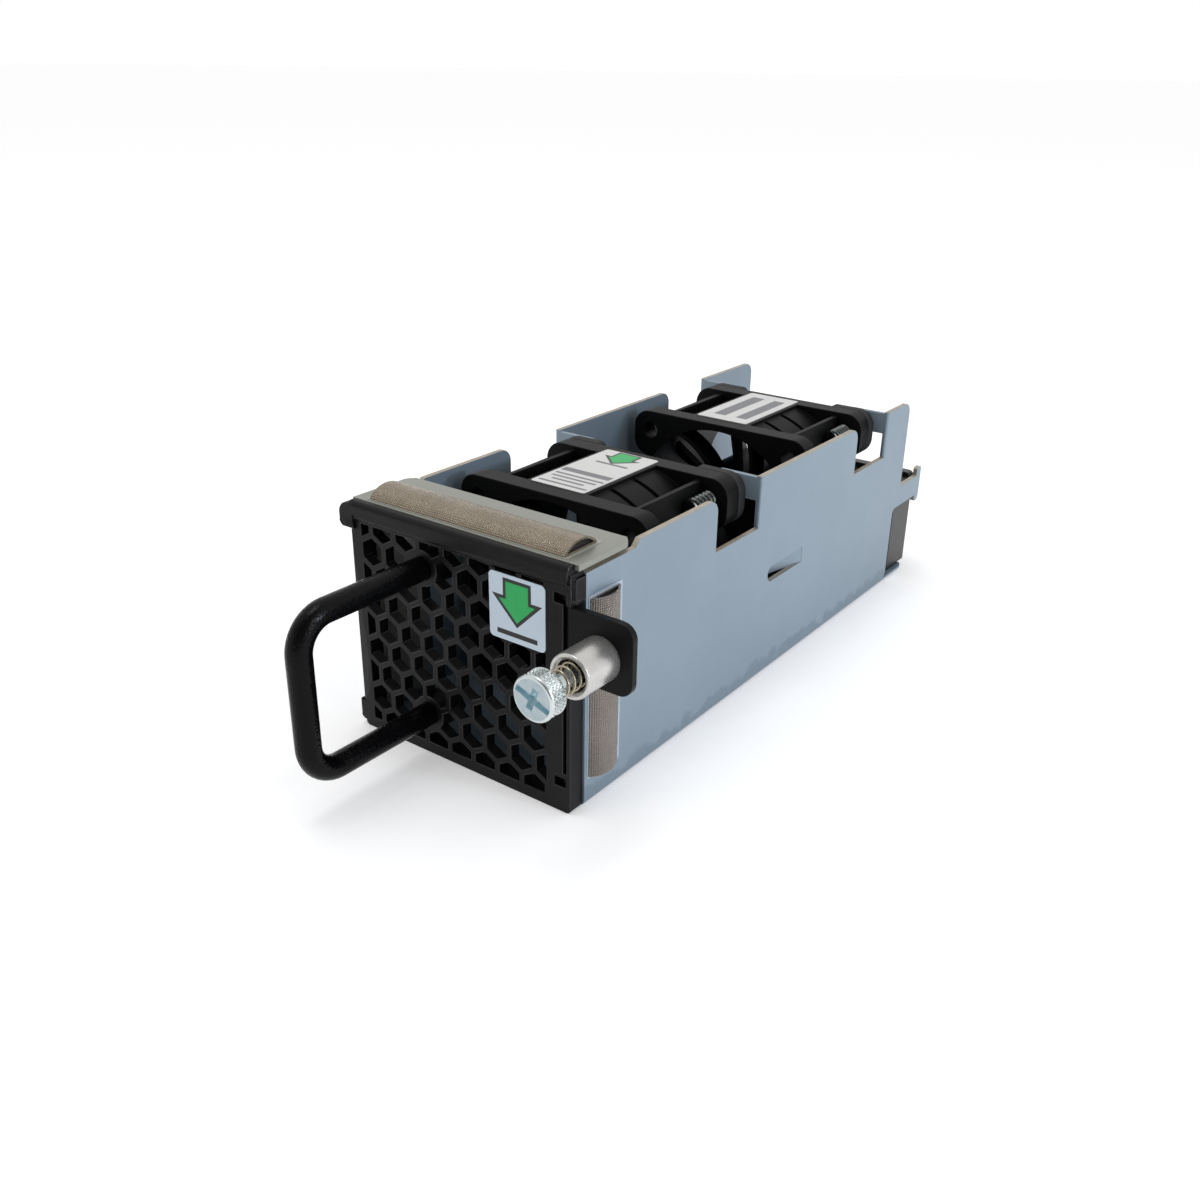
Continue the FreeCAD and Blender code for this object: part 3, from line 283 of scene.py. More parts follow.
# Inner pieces of the fans.
MOTOR_STEEL = Finish("laminated_steel", "motor_steel", "8D8F91", "7A7C7E", 1.0, 0.4, 0.35, 0.02, 2.0,
                     pattern=Pattern.TURNED)
SHAFT_STEEL = Finish("ground_steel", "motor_steel", "C4C6C8", "B4B6B8", 1.0, 0.18, 0.05, 0.001, 2.0,
                     pattern=Pattern.TURNED)
FERRITE = Finish("bonded_ferrite", "ferrite", "3A3836", "2E2C2B", 0.0, 0.6, 0.2, 0.01, 2.0)
COPPER_WIRE = Finish("enamelled_copper", "copper_wire", "B4642F", "9A4F22", 0.9, 0.3, 0.18, 0.06, 1.0,
                     pattern=Pattern.WOUND)
BOARD = Finish("board_laminate", "board_laminate", "1F5A35", "1A4C2D", 0.0, 0.4, 0.3, 0.005, 3.0)
GOLD = Finish("gold_plating", "contact_plating", "D8B25A", "C9A24C", 1.0, 0.25, 0.2, 0.002, 1.0)
# Moulded nylon of the connector.
CONNECTOR_NYLON = Finish("connector_nylon", "black_moulding", "121213", "191919", 0.0, 0.4, 0.3, 0.01, 4.0)


def round_angles(steps: int) -> np.ndarray:
    """Angles of points spread evenly round an axis."""
    return np.linspace(0, 2 * np.pi, steps, endpoint=False)


def ring_faces(rings: int, around: int) -> np.ndarray:
    """Faces of four points each between closed rings of points that are numbered ring by ring."""
    first = np.arange(rings - 1)[:, None] * around
    here = np.arange(around)[None, :]
    beside = (here + 1) % around
    corners = [first + here, first + beside, first + around + beside, first + around + here]
    return np.stack(corners, -1).reshape(-1, 4)


def finish_piece(name: str, mesh: bpy.types.Mesh, finishes: Sequence[Finish], body: str,
                 replaces: Sequence[str] = (), smooth: bool = True) -> bpy.types.Object:
    """Makes an object of a mesh, dresses it and lets it ride on its body.

    Args:
        name: name of the piece.
        mesh: mesh in metres, in place.
        finishes: finish of each material slot.
        body: CAD body that carries the piece.
        replaces: CAD nodes that the piece stands for.
        smooth: whether faces are shaded smooth.
    """
    piece = placed(name, mesh)
    mesh.materials.clear()
    for finish in finishes:
        mesh.materials.append(finish.build())
    mesh.polygons.foreach_set("use_smooth", np.full(len(mesh.polygons), smooth))
    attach(piece, body)
    if replaces:
        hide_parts(*replaces)
    LOG.info("%s: %d faces", name, len(mesh.polygons))
    return piece


def mesh_of(name: str, points_mm: np.ndarray, faces: Sequence[Sequence[int]]) -> bpy.types.Mesh:
    """Makes a mesh in metres from points in mm and faces, with doubles merged and normals outwards."""
    mesh = bpy.data.meshes.new(name)
    mesh.from_pydata((np.asarray(points_mm, float) * MM).tolist(), [], [list(map(int, face)) for face in faces])
    work = bmesh.new()
    work.from_mesh(mesh)
    bmesh.ops.remove_doubles(work, verts=work.verts, dist=2e-7)
    bmesh.ops.recalc_face_normals(work, faces=work.faces)
    work.to_mesh(mesh)
    work.free()
    return mesh


def joined(parts: Sequence[tuple[np.ndarray, Sequence[Sequence[int]]]]) -> tuple[np.ndarray, list[list[int]]]:
    """Points and faces of several parts as those of one."""
    faces, count = [], 0
    for points, corners in parts:
        faces += [[number + count for number in face] for face in corners]
        count += len(points)
    return np.concatenate([points for points, _corners in parts]), faces


def of_faces(mesh: bpy.types.Mesh, what: str) -> np.ndarray:
    """One row for each face: its "center" in metres or its "normal"."""
    rows = np.empty(len(mesh.polygons) * 3, np.float32)
    mesh.polygons.foreach_get(what, rows)
    return rows.reshape(-1, 3)


def rounded_outline(corners: Sequence[tuple[float, float, float]], steps: int = 6) -> np.ndarray:
    """Points round a polygon whose corners are rounded.

    Each corner's arc is tangent to both of its sides: its centre lies on the corner's bisector.

    Args:
        corners: across, up and radius of each corner.
        steps: segments of each arc.
    """
    spots = np.array([corner[:2] for corner in corners], float)
    out = []
    for index, (across, up, radius) in enumerate(corners):
        here = np.array([across, up])
        if radius <= 0:
            out.append(here[None, :])
            continue
        back = spots[index - 1] - here
        ahead = spots[(index + 1) % len(spots)] - here
        back, ahead = back / np.linalg.norm(back), ahead / np.linalg.norm(ahead)
        half = math.acos(float(np.clip(back @ ahead, -1, 1))) / 2
        middle = (back + ahead) / np.linalg.norm(back + ahead)
        centre = here + middle * radius / math.sin(half)
        start, end = here + back * radius / math.tan(half) - centre, here + ahead * radius / math.tan(half) - centre
        low, high = math.atan2(start[1], start[0]), math.atan2(end[1], end[0])
        sweep = (high - low + math.pi) % (2 * math.pi) - math.pi
        angles = low + sweep * np.linspace(0, 1, steps + 1)
        out.append(centre + radius * np.stack([np.cos(angles), np.sin(angles)], -1))
    return np.concatenate(out)


def rectangle(across: tuple[float, float], up: tuple[float, float], radius: float = 0.0) -> np.ndarray:
    """Points round a rectangle between two places across and two up, with rounded corners."""
    (left, right), (low, high) = across, up
    return rounded_outline([(left, low, radius), (right, low, radius), (right, high, radius), (left, high, radius)])


def plate_mesh(name: str, outline: np.ndarray, axis: int, low: float, high: float) -> bpy.types.Mesh:
    """A flat plate across an axis from one level to another, with its outline in the two that remain, in mm."""
    count = len(outline)
    points = np.insert(np.tile(outline, (2, 1)), axis, np.repeat([low, high], count), axis=1)
    sides = ring_faces(2, count).tolist()
    return mesh_of(name, points, sides + [list(range(count)), list(range(count, 2 * count))])


def revolved(profile: np.ndarray, centre: tuple[float, float], steps: int,
             radius_shift: Callable[[np.ndarray, np.ndarray], np.ndarray] | None = None
             ) -> tuple[np.ndarray, np.ndarray]:
    """Points and faces of a profile turned about an axis along Y.

    A point is (x + r cos a, y, z + r sin a), with r from the profile plus a shift that may follow y and a.

    Args:
        profile: radius and Y of each point, from one pole to the other.
        centre: X and Z of the axis.
        steps: points round the axis.
        radius_shift: gives what is added to the radius for Y and angle arrays.
    """
    angle = round_angles(steps)[None, :]
    radius = np.repeat(profile[:, :1], steps, axis=1)
    level = np.repeat(profile[:, 1:], steps, axis=1)
    if radius_shift is not None:
        radius = radius + np.where(radius > 1e-9, radius_shift(level, np.broadcast_to(angle, level.shape)), 0)
    points = np.stack([centre[0] + radius * np.cos(angle), level, centre[1] + radius * np.sin(angle)], -1)
    return points.reshape(-1, 3), ring_faces(len(profile), steps)


def tube(path: np.ndarray, radius: float, sides: int) -> tuple[np.ndarray, np.ndarray]:
    """A round tube along a path in space.

    The ring at each point lies in the plane of two vectors that are turned with the path's direction,
    by carrying the last ring's side vector and taking off its part along the new direction.

    Args:
        path: points of the middle line in millimetres.
        radius: radius of the tube.
        sides: points round the tube.

    Returns:
        Points and faces, with both ends closed by a flat cap.
    """
    along = np.gradient(path, axis=0)
    along /= np.linalg.norm(along, axis=1)[:, None]
    side = np.cross(along[0], [0.31, 0.17, 0.93])
    rings = []
    for direction in along:
        side = side - direction * (side @ direction)
        side /= np.linalg.norm(side)
        rings.append(side)
    across = np.array(rings)
    up = np.cross(along, across)
    angle = round_angles(sides)
    ring = np.cos(angle)[None, :, None] * across[:, None, :] + np.sin(angle)[None, :, None] * up[:, None, :]
    points = (path[:, None, :] + radius * ring).reshape(-1, 3)
    points = np.concatenate([points, path[:1], path[-1:]])
    faces = ring_faces(len(path), sides).tolist()
    last = len(path) * sides
    for step in range(sides):
        beside = (step + 1) % sides
        faces.append([last, beside, step])
        faces.append([last + 1, last - sides + step, last - sides + beside])
    return points, faces


def full_weight(_first: np.ndarray, _last: np.ndarray) -> float:
    """Weight of an edge where the whole piece is eased alike."""
    return 1.0


# Easing: angle under which faces are joined, smallest eased angle, eased widths of room that an edge's neighbours need,
# cosine past which a neighbour counts as the same line, and how much larger a face has to be to keep its own shading.
FLAT, SHARP = math.radians(0.6), math.radians(32)
ROOM, SAME_LINE, MUCH_LARGER = 2.2, -0.85, 12
# Pieces whose large concave faces cross themselves once their edges are eased, and would be filled across their holes.
PIERCED = ("honeycomb_front", "fan_1_frame", "fan_2_frame")


def calm_edges(work: bmesh.types.BMesh, ease: float, weigh: Callable[[np.ndarray, np.ndarray], float]) -> None:
    """Weighs the sharp edges that have room for a bevel, and parts the shading of large and small faces.

    An edge has room where each neighbour that turns off it is over twice the eased width. A large flat face
    next to a narrow bent strip keeps its own normal, or the strip's curve would shade across the whole flat.

    Args:
        work: mesh being edited, in metres.
        ease: eased width in metres.
        weigh: gives the weight of an edge from its two ends in millimetres.
    """
    weight = work.edges.layers.float.new("bevel_weight_edge")

    def has_room(edge: bmesh.types.BMEdge, spot: bmesh.types.BMVert) -> bool:
        """Whether the edges that turn off this one at an end are long enough."""
        along = (edge.other_vert(spot).co - spot.co).normalized()
        for other in spot.link_edges:
            way = (other.other_vert(spot).co - spot.co).normalized()
            if other is not edge and along.dot(way) > SAME_LINE and other.calc_length() < ROOM * ease:
                return False
        return True

    for edge in work.edges:
        if len(edge.link_faces) != 2:
            continue
        angle = edge.calc_face_angle(0.0)
        areas = sorted(face.calc_area() for face in edge.link_faces)
        edge.smooth = angle < math.radians(0.5) or (angle < SHARP and areas[1] < MUCH_LARGER * areas[0])
        if angle > SHARP and all(has_room(edge, spot) for spot in edge.verts):
            first, last = (np.array(spot.co) / MM for spot in edge.verts)
            edge[weight] = weigh(first, last)


def eased_copy(node: str, piece_name: str, finishes: Sequence[Finish], body: str, ease_mm: float,
               paint: Callable[[np.ndarray, np.ndarray], np.ndarray] | None = None,
               weigh: Callable[[np.ndarray, np.ndarray], float] = full_weight, widest_mm: float = 0.0,
               edge_slot: int = -1) -> bpy.types.Object:
    """A copy of a CAD node with its sharp edges eased, as moulding and stamping leave them.

    The copy's doubles are merged and its flat faces joined first, so that a bevel runs along whole edges.

    Args:
        node: CAD node.
        piece_name: name of the new piece.
        finishes: finish of each slot.
        body: body that carries it.
        ease_mm: width of the eased edge.
        paint: gives a slot number for each face from its centre in mm and its normal.
        weigh: gives the share of the widest ease for an edge from its ends in mm.
        widest_mm: widest ease, where it isn't the same all over.
        edge_slot: slot of the eased edges, or -1 for that of their neighbours.
    """
    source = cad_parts[node]
    mesh = source.data.copy()
    mesh.transform(source.matrix_world)
    work = bmesh.new()
    work.from_mesh(mesh)
    bmesh.ops.remove_doubles(work, verts=work.verts, dist=2e-6)
    bmesh.ops.dissolve_limit(work, angle_limit=FLAT, verts=work.verts, edges=work.edges)
    calm_edges(work, ease_mm * MM, weigh)
    if piece_name in PIERCED:
        bmesh.ops.connect_verts_concave(work, faces=work.faces[:])
    work.to_mesh(mesh)
    work.free()
    piece = finish_piece(piece_name, mesh, finishes, body, [node])
    if paint is not None:
        chosen = paint(of_faces(mesh, "center") / MM, of_faces(mesh, "normal")).astype(np.int32)
        mesh.polygons.foreach_set("material_index", chosen)
    bevel = piece.modifiers.new("eased_edges", "BEVEL")
    bevel.width = max(ease_mm, widest_mm) * MM
    bevel.segments = 3 if widest_mm else 2
    bevel.material = edge_slot
    bevel.limit_method = "WEIGHT"
    bevel.use_clamp_overlap = False
    bevel.harden_normals = True
    return piece


@dataclass
class SheetMetal:
    """The folded tray, the front frame and the ear."""

    sheet: float = 1.0
    half_width: float = 23.0
    ease: float = 0.1
    fold: float = 0.5
    tab_fronts: tuple[float, float] = (53.6, 106.8)
    guide_rows: tuple[float, float] = (57.0, 75.0)
    guide_levels: tuple[float, float] = (17.0, 24.0)

    def cut_edges(self, centres: np.ndarray, normals: np.ndarray) -> np.ndarray:
        """Gives slot 1 to sheared edges, the faces of the walls that look up, forward or back, and 0 elsewhere."""
        in_wall = np.abs(centres[:, 0]) > self.half_width - self.sheet
        across = np.abs(normals[:, 0]) < 0.4
        above_floor = centres[:, 2] > self.sheet + 0.4
        return (in_wall & across & above_floor).astype(int)

    def edge_weight(self, first: np.ndarray, last: np.ndarray) -> float:
        """Share of the fold's rounding for an edge of the tray.

        The tabs' outer folds are round, sheared edges only eased, and the lanced guide stays as cut.
        """
        middle, reach = (first + last) / 2, np.abs(last - first)
        row = middle[1] - FRONT
        in_guide = (self.guide_rows[0] < row < self.guide_rows[1]
                    and self.guide_levels[0] < middle[2] < self.guide_levels[1])
        if middle[0] > 19 and in_guide:
            return 0.0
        at_tab = min(abs(row - tab) for tab in self.tab_fronts) < 0.02
        if at_tab and abs(middle[0]) > self.half_width - 0.02 and reach[2] > 4:
            return 1.0
        return self.ease / self.fold

    def build(self) -> None:
        """Makes the three sheet pieces."""
        eased_copy("tray", "tray_sheet", [ZINC_SHEET, SHEARED_EDGE], TRAY, self.ease, self.cut_edges,
                   self.edge_weight, self.fold)
        eased_copy("front_frame", "front_frame_sheet", [FRAME_SHEET], TRAY, self.ease)
        eased_copy("ear_bracket", "ear_plate", [EAR_COAT], TRAY, self.ease)
        eased_copy("captive_barrel", "captive_barrel_turned", [TURNED_ALUMINIUM], TRAY, 0.12)


@dataclass
class Front:
    """The moulded honeycomb front and the handle."""

    ease: float = 0.14
    handle_x: float = -6.9
    handle_low: float = 7.7
    handle_high: float = 33.7
    handle_reach: float = 25.095
    handle_bend: float = 5.5
    handle_radius: float = 2.0
    stud_end: float = 6.4

    def handle_path(self) -> np.ndarray:
        """Middle line of the handle: two posts, two quarter arcs and the grip."""
        reach, bend, steps = FRONT - self.handle_reach, self.handle_bend, 30
        turn = np.linspace(0, np.pi / 2, 17)
        start = FRONT - 0.02
        run = np.linspace(start, reach + bend, steps)
        low_post = np.stack([run, np.full(steps, self.handle_low)], -1)
        low_arc = np.stack([reach + bend - bend * np.sin(turn), self.handle_low + bend - bend * np.cos(turn)], -1)
        rise = np.linspace(self.handle_low + bend, self.handle_high - bend, steps)
        grip = np.stack([np.full(steps, reach), rise], -1)
        high_arc = np.stack([reach + bend - bend * np.cos(turn), self.handle_high - bend + bend * np.sin(turn)], -1)
        high_post = np.stack([np.linspace(reach + bend, start, steps), np.full(steps, self.handle_high)], -1)
        flat = np.concatenate([low_post, low_arc[1:], grip[1:], high_arc[1:], high_post[1:]])
        return np.insert(flat, 0, self.handle_x, axis=1)

    def build_handle(self) -> None:
        """Makes the coated rod with its two hidden studs."""
        parts = [tube(self.handle_path(), self.handle_radius, 40)]
        for level in (self.handle_low, self.handle_high):
            profile = np.array([[0, 0], [1.5, 0], [1.5, self.stud_end - 0.3], [1.2, self.stud_end], [0, self.stud_end]])
            profile[:, 1] += FRONT
            parts.append(revolved(profile, (self.handle_x, level), 24))
        mesh = mesh_of("handle_rod", *joined(parts))
        finish_piece("handle_rod", mesh, [POWDER_COAT], TRAY, ["handle"])

    def build(self) -> None:
        """Makes the front and the handle."""
        # The eased edges take the glossier moulding with its painted highlight.
        eased_copy("bezel", "honeycomb_front", [BEZEL_MOULDING, GLINT_EDGE_MOULDING], TRAY, self.ease, edge_slot=1)
        self.build_handle()
        # The nuts behind the grille take zinc painted dark as shade.
        dress("handle_nuts", SHADED_NUT_ZINC)


# Chamfers under a screw's head and at its tip and depth of a recess's wall in mm, and rows up a head and a turn.
UNDER_HEAD, TIP_CHAMFER, RECESS_WALL, HEAD_ROWS, TURN_ROWS = 0.25, 0.35, 0.08, 34, 14


@dataclass
class Screw:
    """A screw along Y, from its head's face to its tip, or the other way round.

    The thread is a sharp ridge over a flat root that climbs one pitch a turn:
    r = r0 - depth * min(1, 1.6 triangle(y / pitch - a / 2 pi)).
    The knurl is a field of small pyramids: r = r0 - depth * (1 - min(tri(n (a + c y)), tri(n (a - c y)))).
    """

    name: str
    centre: tuple[float, float]
    body: str
    node: str
    head_face: float
    tip: float
    head_radius: float
    head_height: float
    head_round: float
    shank_radius: float
    thread_radius: float
    thread_start: float
    pitch: float
    thread_depth: float
    slot_half: float
    slot_reach: float
    cross_reach: float
    recess_depth: float
    recess_turn: float
    knurl_depth: float = 0.0
    knurl_count: int = 0

    @property
    def way(self) -> float:
        """1 where the tip lies behind the head, or else -1."""
        return 1.0 if self.tip > self.head_face else -1.0

    def side_profile(self) -> np.ndarray:
        """Radius and distance from the head's face along the sides, from the face's rim to the tip."""
        head, deep = self.head_radius, self.head_height
        turn = np.linspace(0, np.pi / 2, 6)
        rim = np.stack([head - self.head_round + self.head_round * np.sin(turn),
                        self.head_round * (1 - np.cos(turn))], -1)
        wall = np.stack([np.full(HEAD_ROWS, head), np.linspace(self.head_round, deep - UNDER_HEAD, HEAD_ROWS)], -1)
        under = np.array([[head - UNDER_HEAD, deep], [self.shank_radius + 0.02, deep]])
        length = abs(self.tip - self.head_face)
        plain = np.stack([np.full(2, self.shank_radius), np.array([deep + 0.01, self.thread_start - 0.01])], -1)
        rows = int((length - self.thread_start) / self.pitch * TURN_ROWS)
        climb = np.linspace(self.thread_start, length - TIP_CHAMFER, rows)
        ridge = np.stack([np.full(rows, self.thread_radius), climb], -1)
        end = np.array([[self.thread_radius - TIP_CHAMFER, length], [0.0, length]])
        return np.concatenate([rim, wall[1:], under, plain, ridge, end])

    def shift(self, level: np.ndarray, angle: np.ndarray) -> np.ndarray:
        """What the knurl and the thread take off the radius."""
        deep = (level - self.head_face) * self.way
        climb = (deep / self.pitch - angle / (2 * np.pi)) % 1.0
        ridge = self.thread_depth * np.minimum(1, 1.6 * np.abs(2 * climb - 1))
        on_thread = (deep > self.thread_start + 0.02) & (deep < abs(self.tip - self.head_face) - 0.05)
        thread = np.where(on_thread, -ridge, 0)
        lean = 0.9 * deep / self.head_radius
        count = self.knurl_count / (2 * np.pi)
        crossed = np.minimum(np.abs(2 * ((count * (angle + lean)) % 1.0) - 1),
                             np.abs(2 * ((count * (angle - lean)) % 1.0) - 1))
        on_wall = (deep > self.head_round + 0.05) & (deep < self.head_height - UNDER_HEAD - 0.01)
        return thread - np.where(on_wall, self.knurl_depth * (1 - crossed), 0)

    def face_grid(self, steps: int, rings: int = 56) -> tuple[np.ndarray, np.ndarray]:
        """The head's face with its recess, as a height over polar rings.

        The depth is the recess depth inside the cross or the slot and 0 outside, with a steep short wall.
        """
        angle = round_angles(steps)[None, :]
        radius = np.linspace(0, self.head_radius - self.head_round, rings)[:, None]
        across, up = radius * np.cos(angle - self.recess_turn), radius * np.sin(angle - self.recess_turn)
        slot = np.minimum(self.slot_half - np.abs(up), self.slot_reach - np.abs(across))
        width = self.slot_half * 1.15
        cross = np.maximum(np.minimum(width - np.abs(up), self.cross_reach - np.abs(across)),
                           np.minimum(width - np.abs(across), self.cross_reach - np.abs(up)))
        slot_depth = self.recess_depth * 0.6 * np.clip(slot / RECESS_WALL, 0, 1)
        cone = np.clip(1.25 - radius / (self.cross_reach * 1.1), 0.3, 1)
        cross_depth = self.recess_depth * cone * np.clip(cross / RECESS_WALL, 0, 1)
        level = self.head_face + self.way * np.maximum(slot_depth, cross_depth)
        points = np.stack([self.centre[0] + radius * np.cos(angle), np.broadcast_to(level, (rings, steps)),
                           self.centre[1] + radius * np.sin(angle)], -1)
        return points.reshape(-1, 3), ring_faces(rings, steps)

    def points(self, steps: int) -> tuple[np.ndarray, list[list[int]]]:
        """Points and faces of the whole screw."""
        profile = self.side_profile()
        profile[:, 1] = self.head_face + self.way * profile[:, 1]
        return joined([revolved(profile, self.centre, steps, self.shift), self.face_grid(steps)])

    def head_slots(self, mesh: bpy.types.Mesh, root_slot: int = 0) -> None:
        """Gives the recess the second slot, the face round it the third, and the thread's root its own."""
        centres = of_faces(mesh, "center") / MM
        away = np.hypot(np.abs(centres[:, 0]) - abs(self.centre[0]), centres[:, 2] - self.centre[1])
        deep = (centres[:, 1] - self.head_face) * self.way
        on_face = (away < self.head_radius - self.head_round + 0.05) & (deep < self.recess_depth + 0.1)
        in_root = (deep > self.thread_start) & (away < self.thread_radius - 0.6 * self.thread_depth)
        slots = np.where(on_face, np.where(deep > 0.05, 1, 2), np.where(in_root, root_slot, 0))
        mesh.polygons.foreach_set("material_index", slots.astype(np.int32))


def make_screws(screws: Sequence[Screw], steps: int, finishes: Sequence[Finish], root_slot: int = 0) -> None:
    """Makes one piece of one or two screws that differ only in their side."""
    last = screws[-1]
    mesh = mesh_of(last.name, *joined([screw.points(steps) for screw in screws]))
    piece = finish_piece(last.name, mesh, finishes, last.body, [last.node])
    last.head_slots(mesh, root_slot)
    sharpen(piece)


def captive_screw() -> None:
    """Makes the knurled captive screw on the turning body."""
    face = FRONT - 15.0
    screw = Screw(
        name="captive_thumbscrew", centre=CAPTIVE_AXIS, body="thumb_screw", node="captive_screw", head_face=face,
        tip=face + 17.55, head_radius=3.5, head_height=3.2, head_round=0.45, shank_radius=1.25, thread_radius=1.5,
        thread_start=14.05, pitch=0.5, thread_depth=0.22, slot_half=0.46, slot_reach=3.0, cross_reach=1.75,
        recess_depth=1.3, recess_turn=math.radians(-22), knurl_depth=0.3, knurl_count=32)
    make_screws([screw], 336, [ZINC_SCREW, PASSIVATED, SHADED_FACE_ZINC])


def sharpen(piece: bpy.types.Object, degrees: float = 35.0) -> None:
    """Keeps creases above an angle sharp in the shading."""
    work = bmesh.new()
    work.from_mesh(piece.data)
    limit = math.radians(degrees)
    for edge in work.edges:
        edge.smooth = len(edge.link_faces) != 2 or edge.calc_face_angle(0.0) < limit
    work.to_mesh(piece.data)
    work.free()


def captive_spring() -> None:
    """Makes the coil spring: (r cos a, y, r sin a) with y rising one pitch a turn and closed end turns."""
    low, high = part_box("captive_spring")
    wire, radius, turns, closed = 0.19, 1.98, 8.5, 0.1
    start, end = low[1] / MM + wire, high[1] / MM - wire
    share = np.linspace(0, 1, 700)
    level = start + (end - start) * np.clip((share - closed) / (1 - 2 * closed), 0, 1)
    angle = 2 * np.pi * turns * share
    middle_x, middle_z = CAPTIVE_AXIS
    path = np.stack([middle_x + radius * np.cos(angle), level, middle_z + radius * np.sin(angle)], -1)
    points, faces = tube(path, wire, 10)
    mesh = mesh_of("captive_coil_spring", points, faces)
    piece = finish_piece("captive_coil_spring", mesh, [SPRING_WIRE], TRAY, ["captive_spring"])
    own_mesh(piece)


@dataclass
class Seal:
    """A seal of plated cloth over foam: an arch carried along a straight run, with its foam set back at both ends.

    The arch is base + height * (1 - t^2)^0.72 across t from -1 to 1, and the foam's outline follows it inside.
    """

    name: str
    node: str
    run_axis: int
    run_low: float
    run_high: float
    across_low: float
    across_high: float
    base: float
    height: float
    wall: float = 0.34
    recess: float = 0.45
    cloth: Finish = PLATED_CLOTH

    def arch(self, inset: float, steps: int = 36) -> np.ndarray:
        """Across and up of the arch, from one foot to the other."""
        middle = (self.across_low + self.across_high) / 2
        half = (self.across_high - self.across_low) / 2 - inset * 1.6
        side = np.sin(np.linspace(-np.pi / 2, np.pi / 2, steps))
        rise = (self.height - inset) * (1 - side ** 2) ** 0.72
        return np.stack([middle + half * side, self.base + np.maximum(rise, inset)], -1)

    def build(self, rows: int = 60) -> None:
        """Makes the seal as one closed skin: foam, cut end, cloth along the run, cut end, foam."""
        outer, inner = self.arch(0.0), self.arch(self.wall)
        run = np.linspace(self.run_low, self.run_high, rows)
        run = np.concatenate([[run[0] + self.recess, run[0]], run, [run[-1], run[-1] - self.recess]])
        loops = np.stack([inner, inner] + [outer] * rows + [inner, inner])
        swell = 1 + 0.018 * np.sin(run * 0.9) + 0.012 * np.sin(run * 2.3 + 1.0)
        up = self.base + (loops[:, :, 1] - self.base) * swell[:, None] / swell.max()
        along = np.broadcast_to(run[:, None], up.shape)
        order = {0: (along, loops[:, :, 0], up), 2: (up, loops[:, :, 0], along)}[self.run_axis]
        count = len(outer)
        faces = ring_faces(len(run), count).tolist()
        end = (len(run) - 1) * count
        faces += [list(range(count)), list(range(end, end + count))]
        mesh = mesh_of(self.name, np.stack(order, -1).reshape(-1, 3), faces)
        steps = np.linalg.norm(np.diff(outer, axis=0), axis=1)
        self.lay_out(mesh, along.ravel(), np.tile(np.concatenate([[0], np.cumsum(steps)]), len(run)))
        piece = finish_piece(self.name, mesh, [self.cloth, FOAM_AND_SHADE], TRAY, [self.node])
        slots = np.zeros(len(faces), np.int32)
        slots[:count] = slots[-count - 2:] = 1
        mesh.polygons.foreach_set("material_index", slots)
        sharpen(piece, 50)

    def lay_out(self, mesh: bpy.types.Mesh, along: np.ndarray, arc: np.ndarray) -> None:
        """Gives the mesh a UV map in mm from each vertex's place along the run and length round the arch."""
        layer = mesh.uv_layers.new(name="cloth")
        numbers = np.empty(len(mesh.loops), np.int32)
        mesh.loops.foreach_get("vertex_index", numbers)
        layer.data.foreach_set("uv", np.stack([along, arc], -1)[numbers].astype(np.float32).ravel())


@dataclass
class Seals:
    """Both seals with the adhesive strips that hold them."""

    strip: float = 0.08
    corner: float = 0.3

    def lay_strip(self, name: str, across: tuple[float, float], up: tuple[float, float], axis: int, level: float,
                  adhesive: Finish) -> None:
        """Lays an adhesive strip on a face."""
        mesh = plate_mesh(name, rectangle(across, up, self.corner), axis, level, level + self.strip)
        finish_piece(name, mesh, [adhesive], TRAY, smooth=False)

    def build(self) -> None:
        """Makes the seals."""
        self.lay_strip("top_seal_strip", (-20.6, 20.3), (FRONT + 1.9, FRONT + 10.6), 2, 41.6, TOP_ADHESIVE)
        Seal("top_seal", "top_gasket", 0, -20.0, 19.8, FRONT + 2.1, FRONT + 9.9, 41.68, 1.9).build()
        self.lay_strip("side_seal_strip", (FRONT + 3.7, FRONT + 12.0), (4.8, 35.9), 0, 23.0, SIDE_ADHESIVE)
        # The side seal's cloth carries painted shade.
        Seal("side_seal", "side_gasket", 2, 5.2, 35.5, FRONT + 3.9, FRONT + 11.2, 23.08, 1.7,
             cloth=SHADED_SIDE_CLOTH).build()


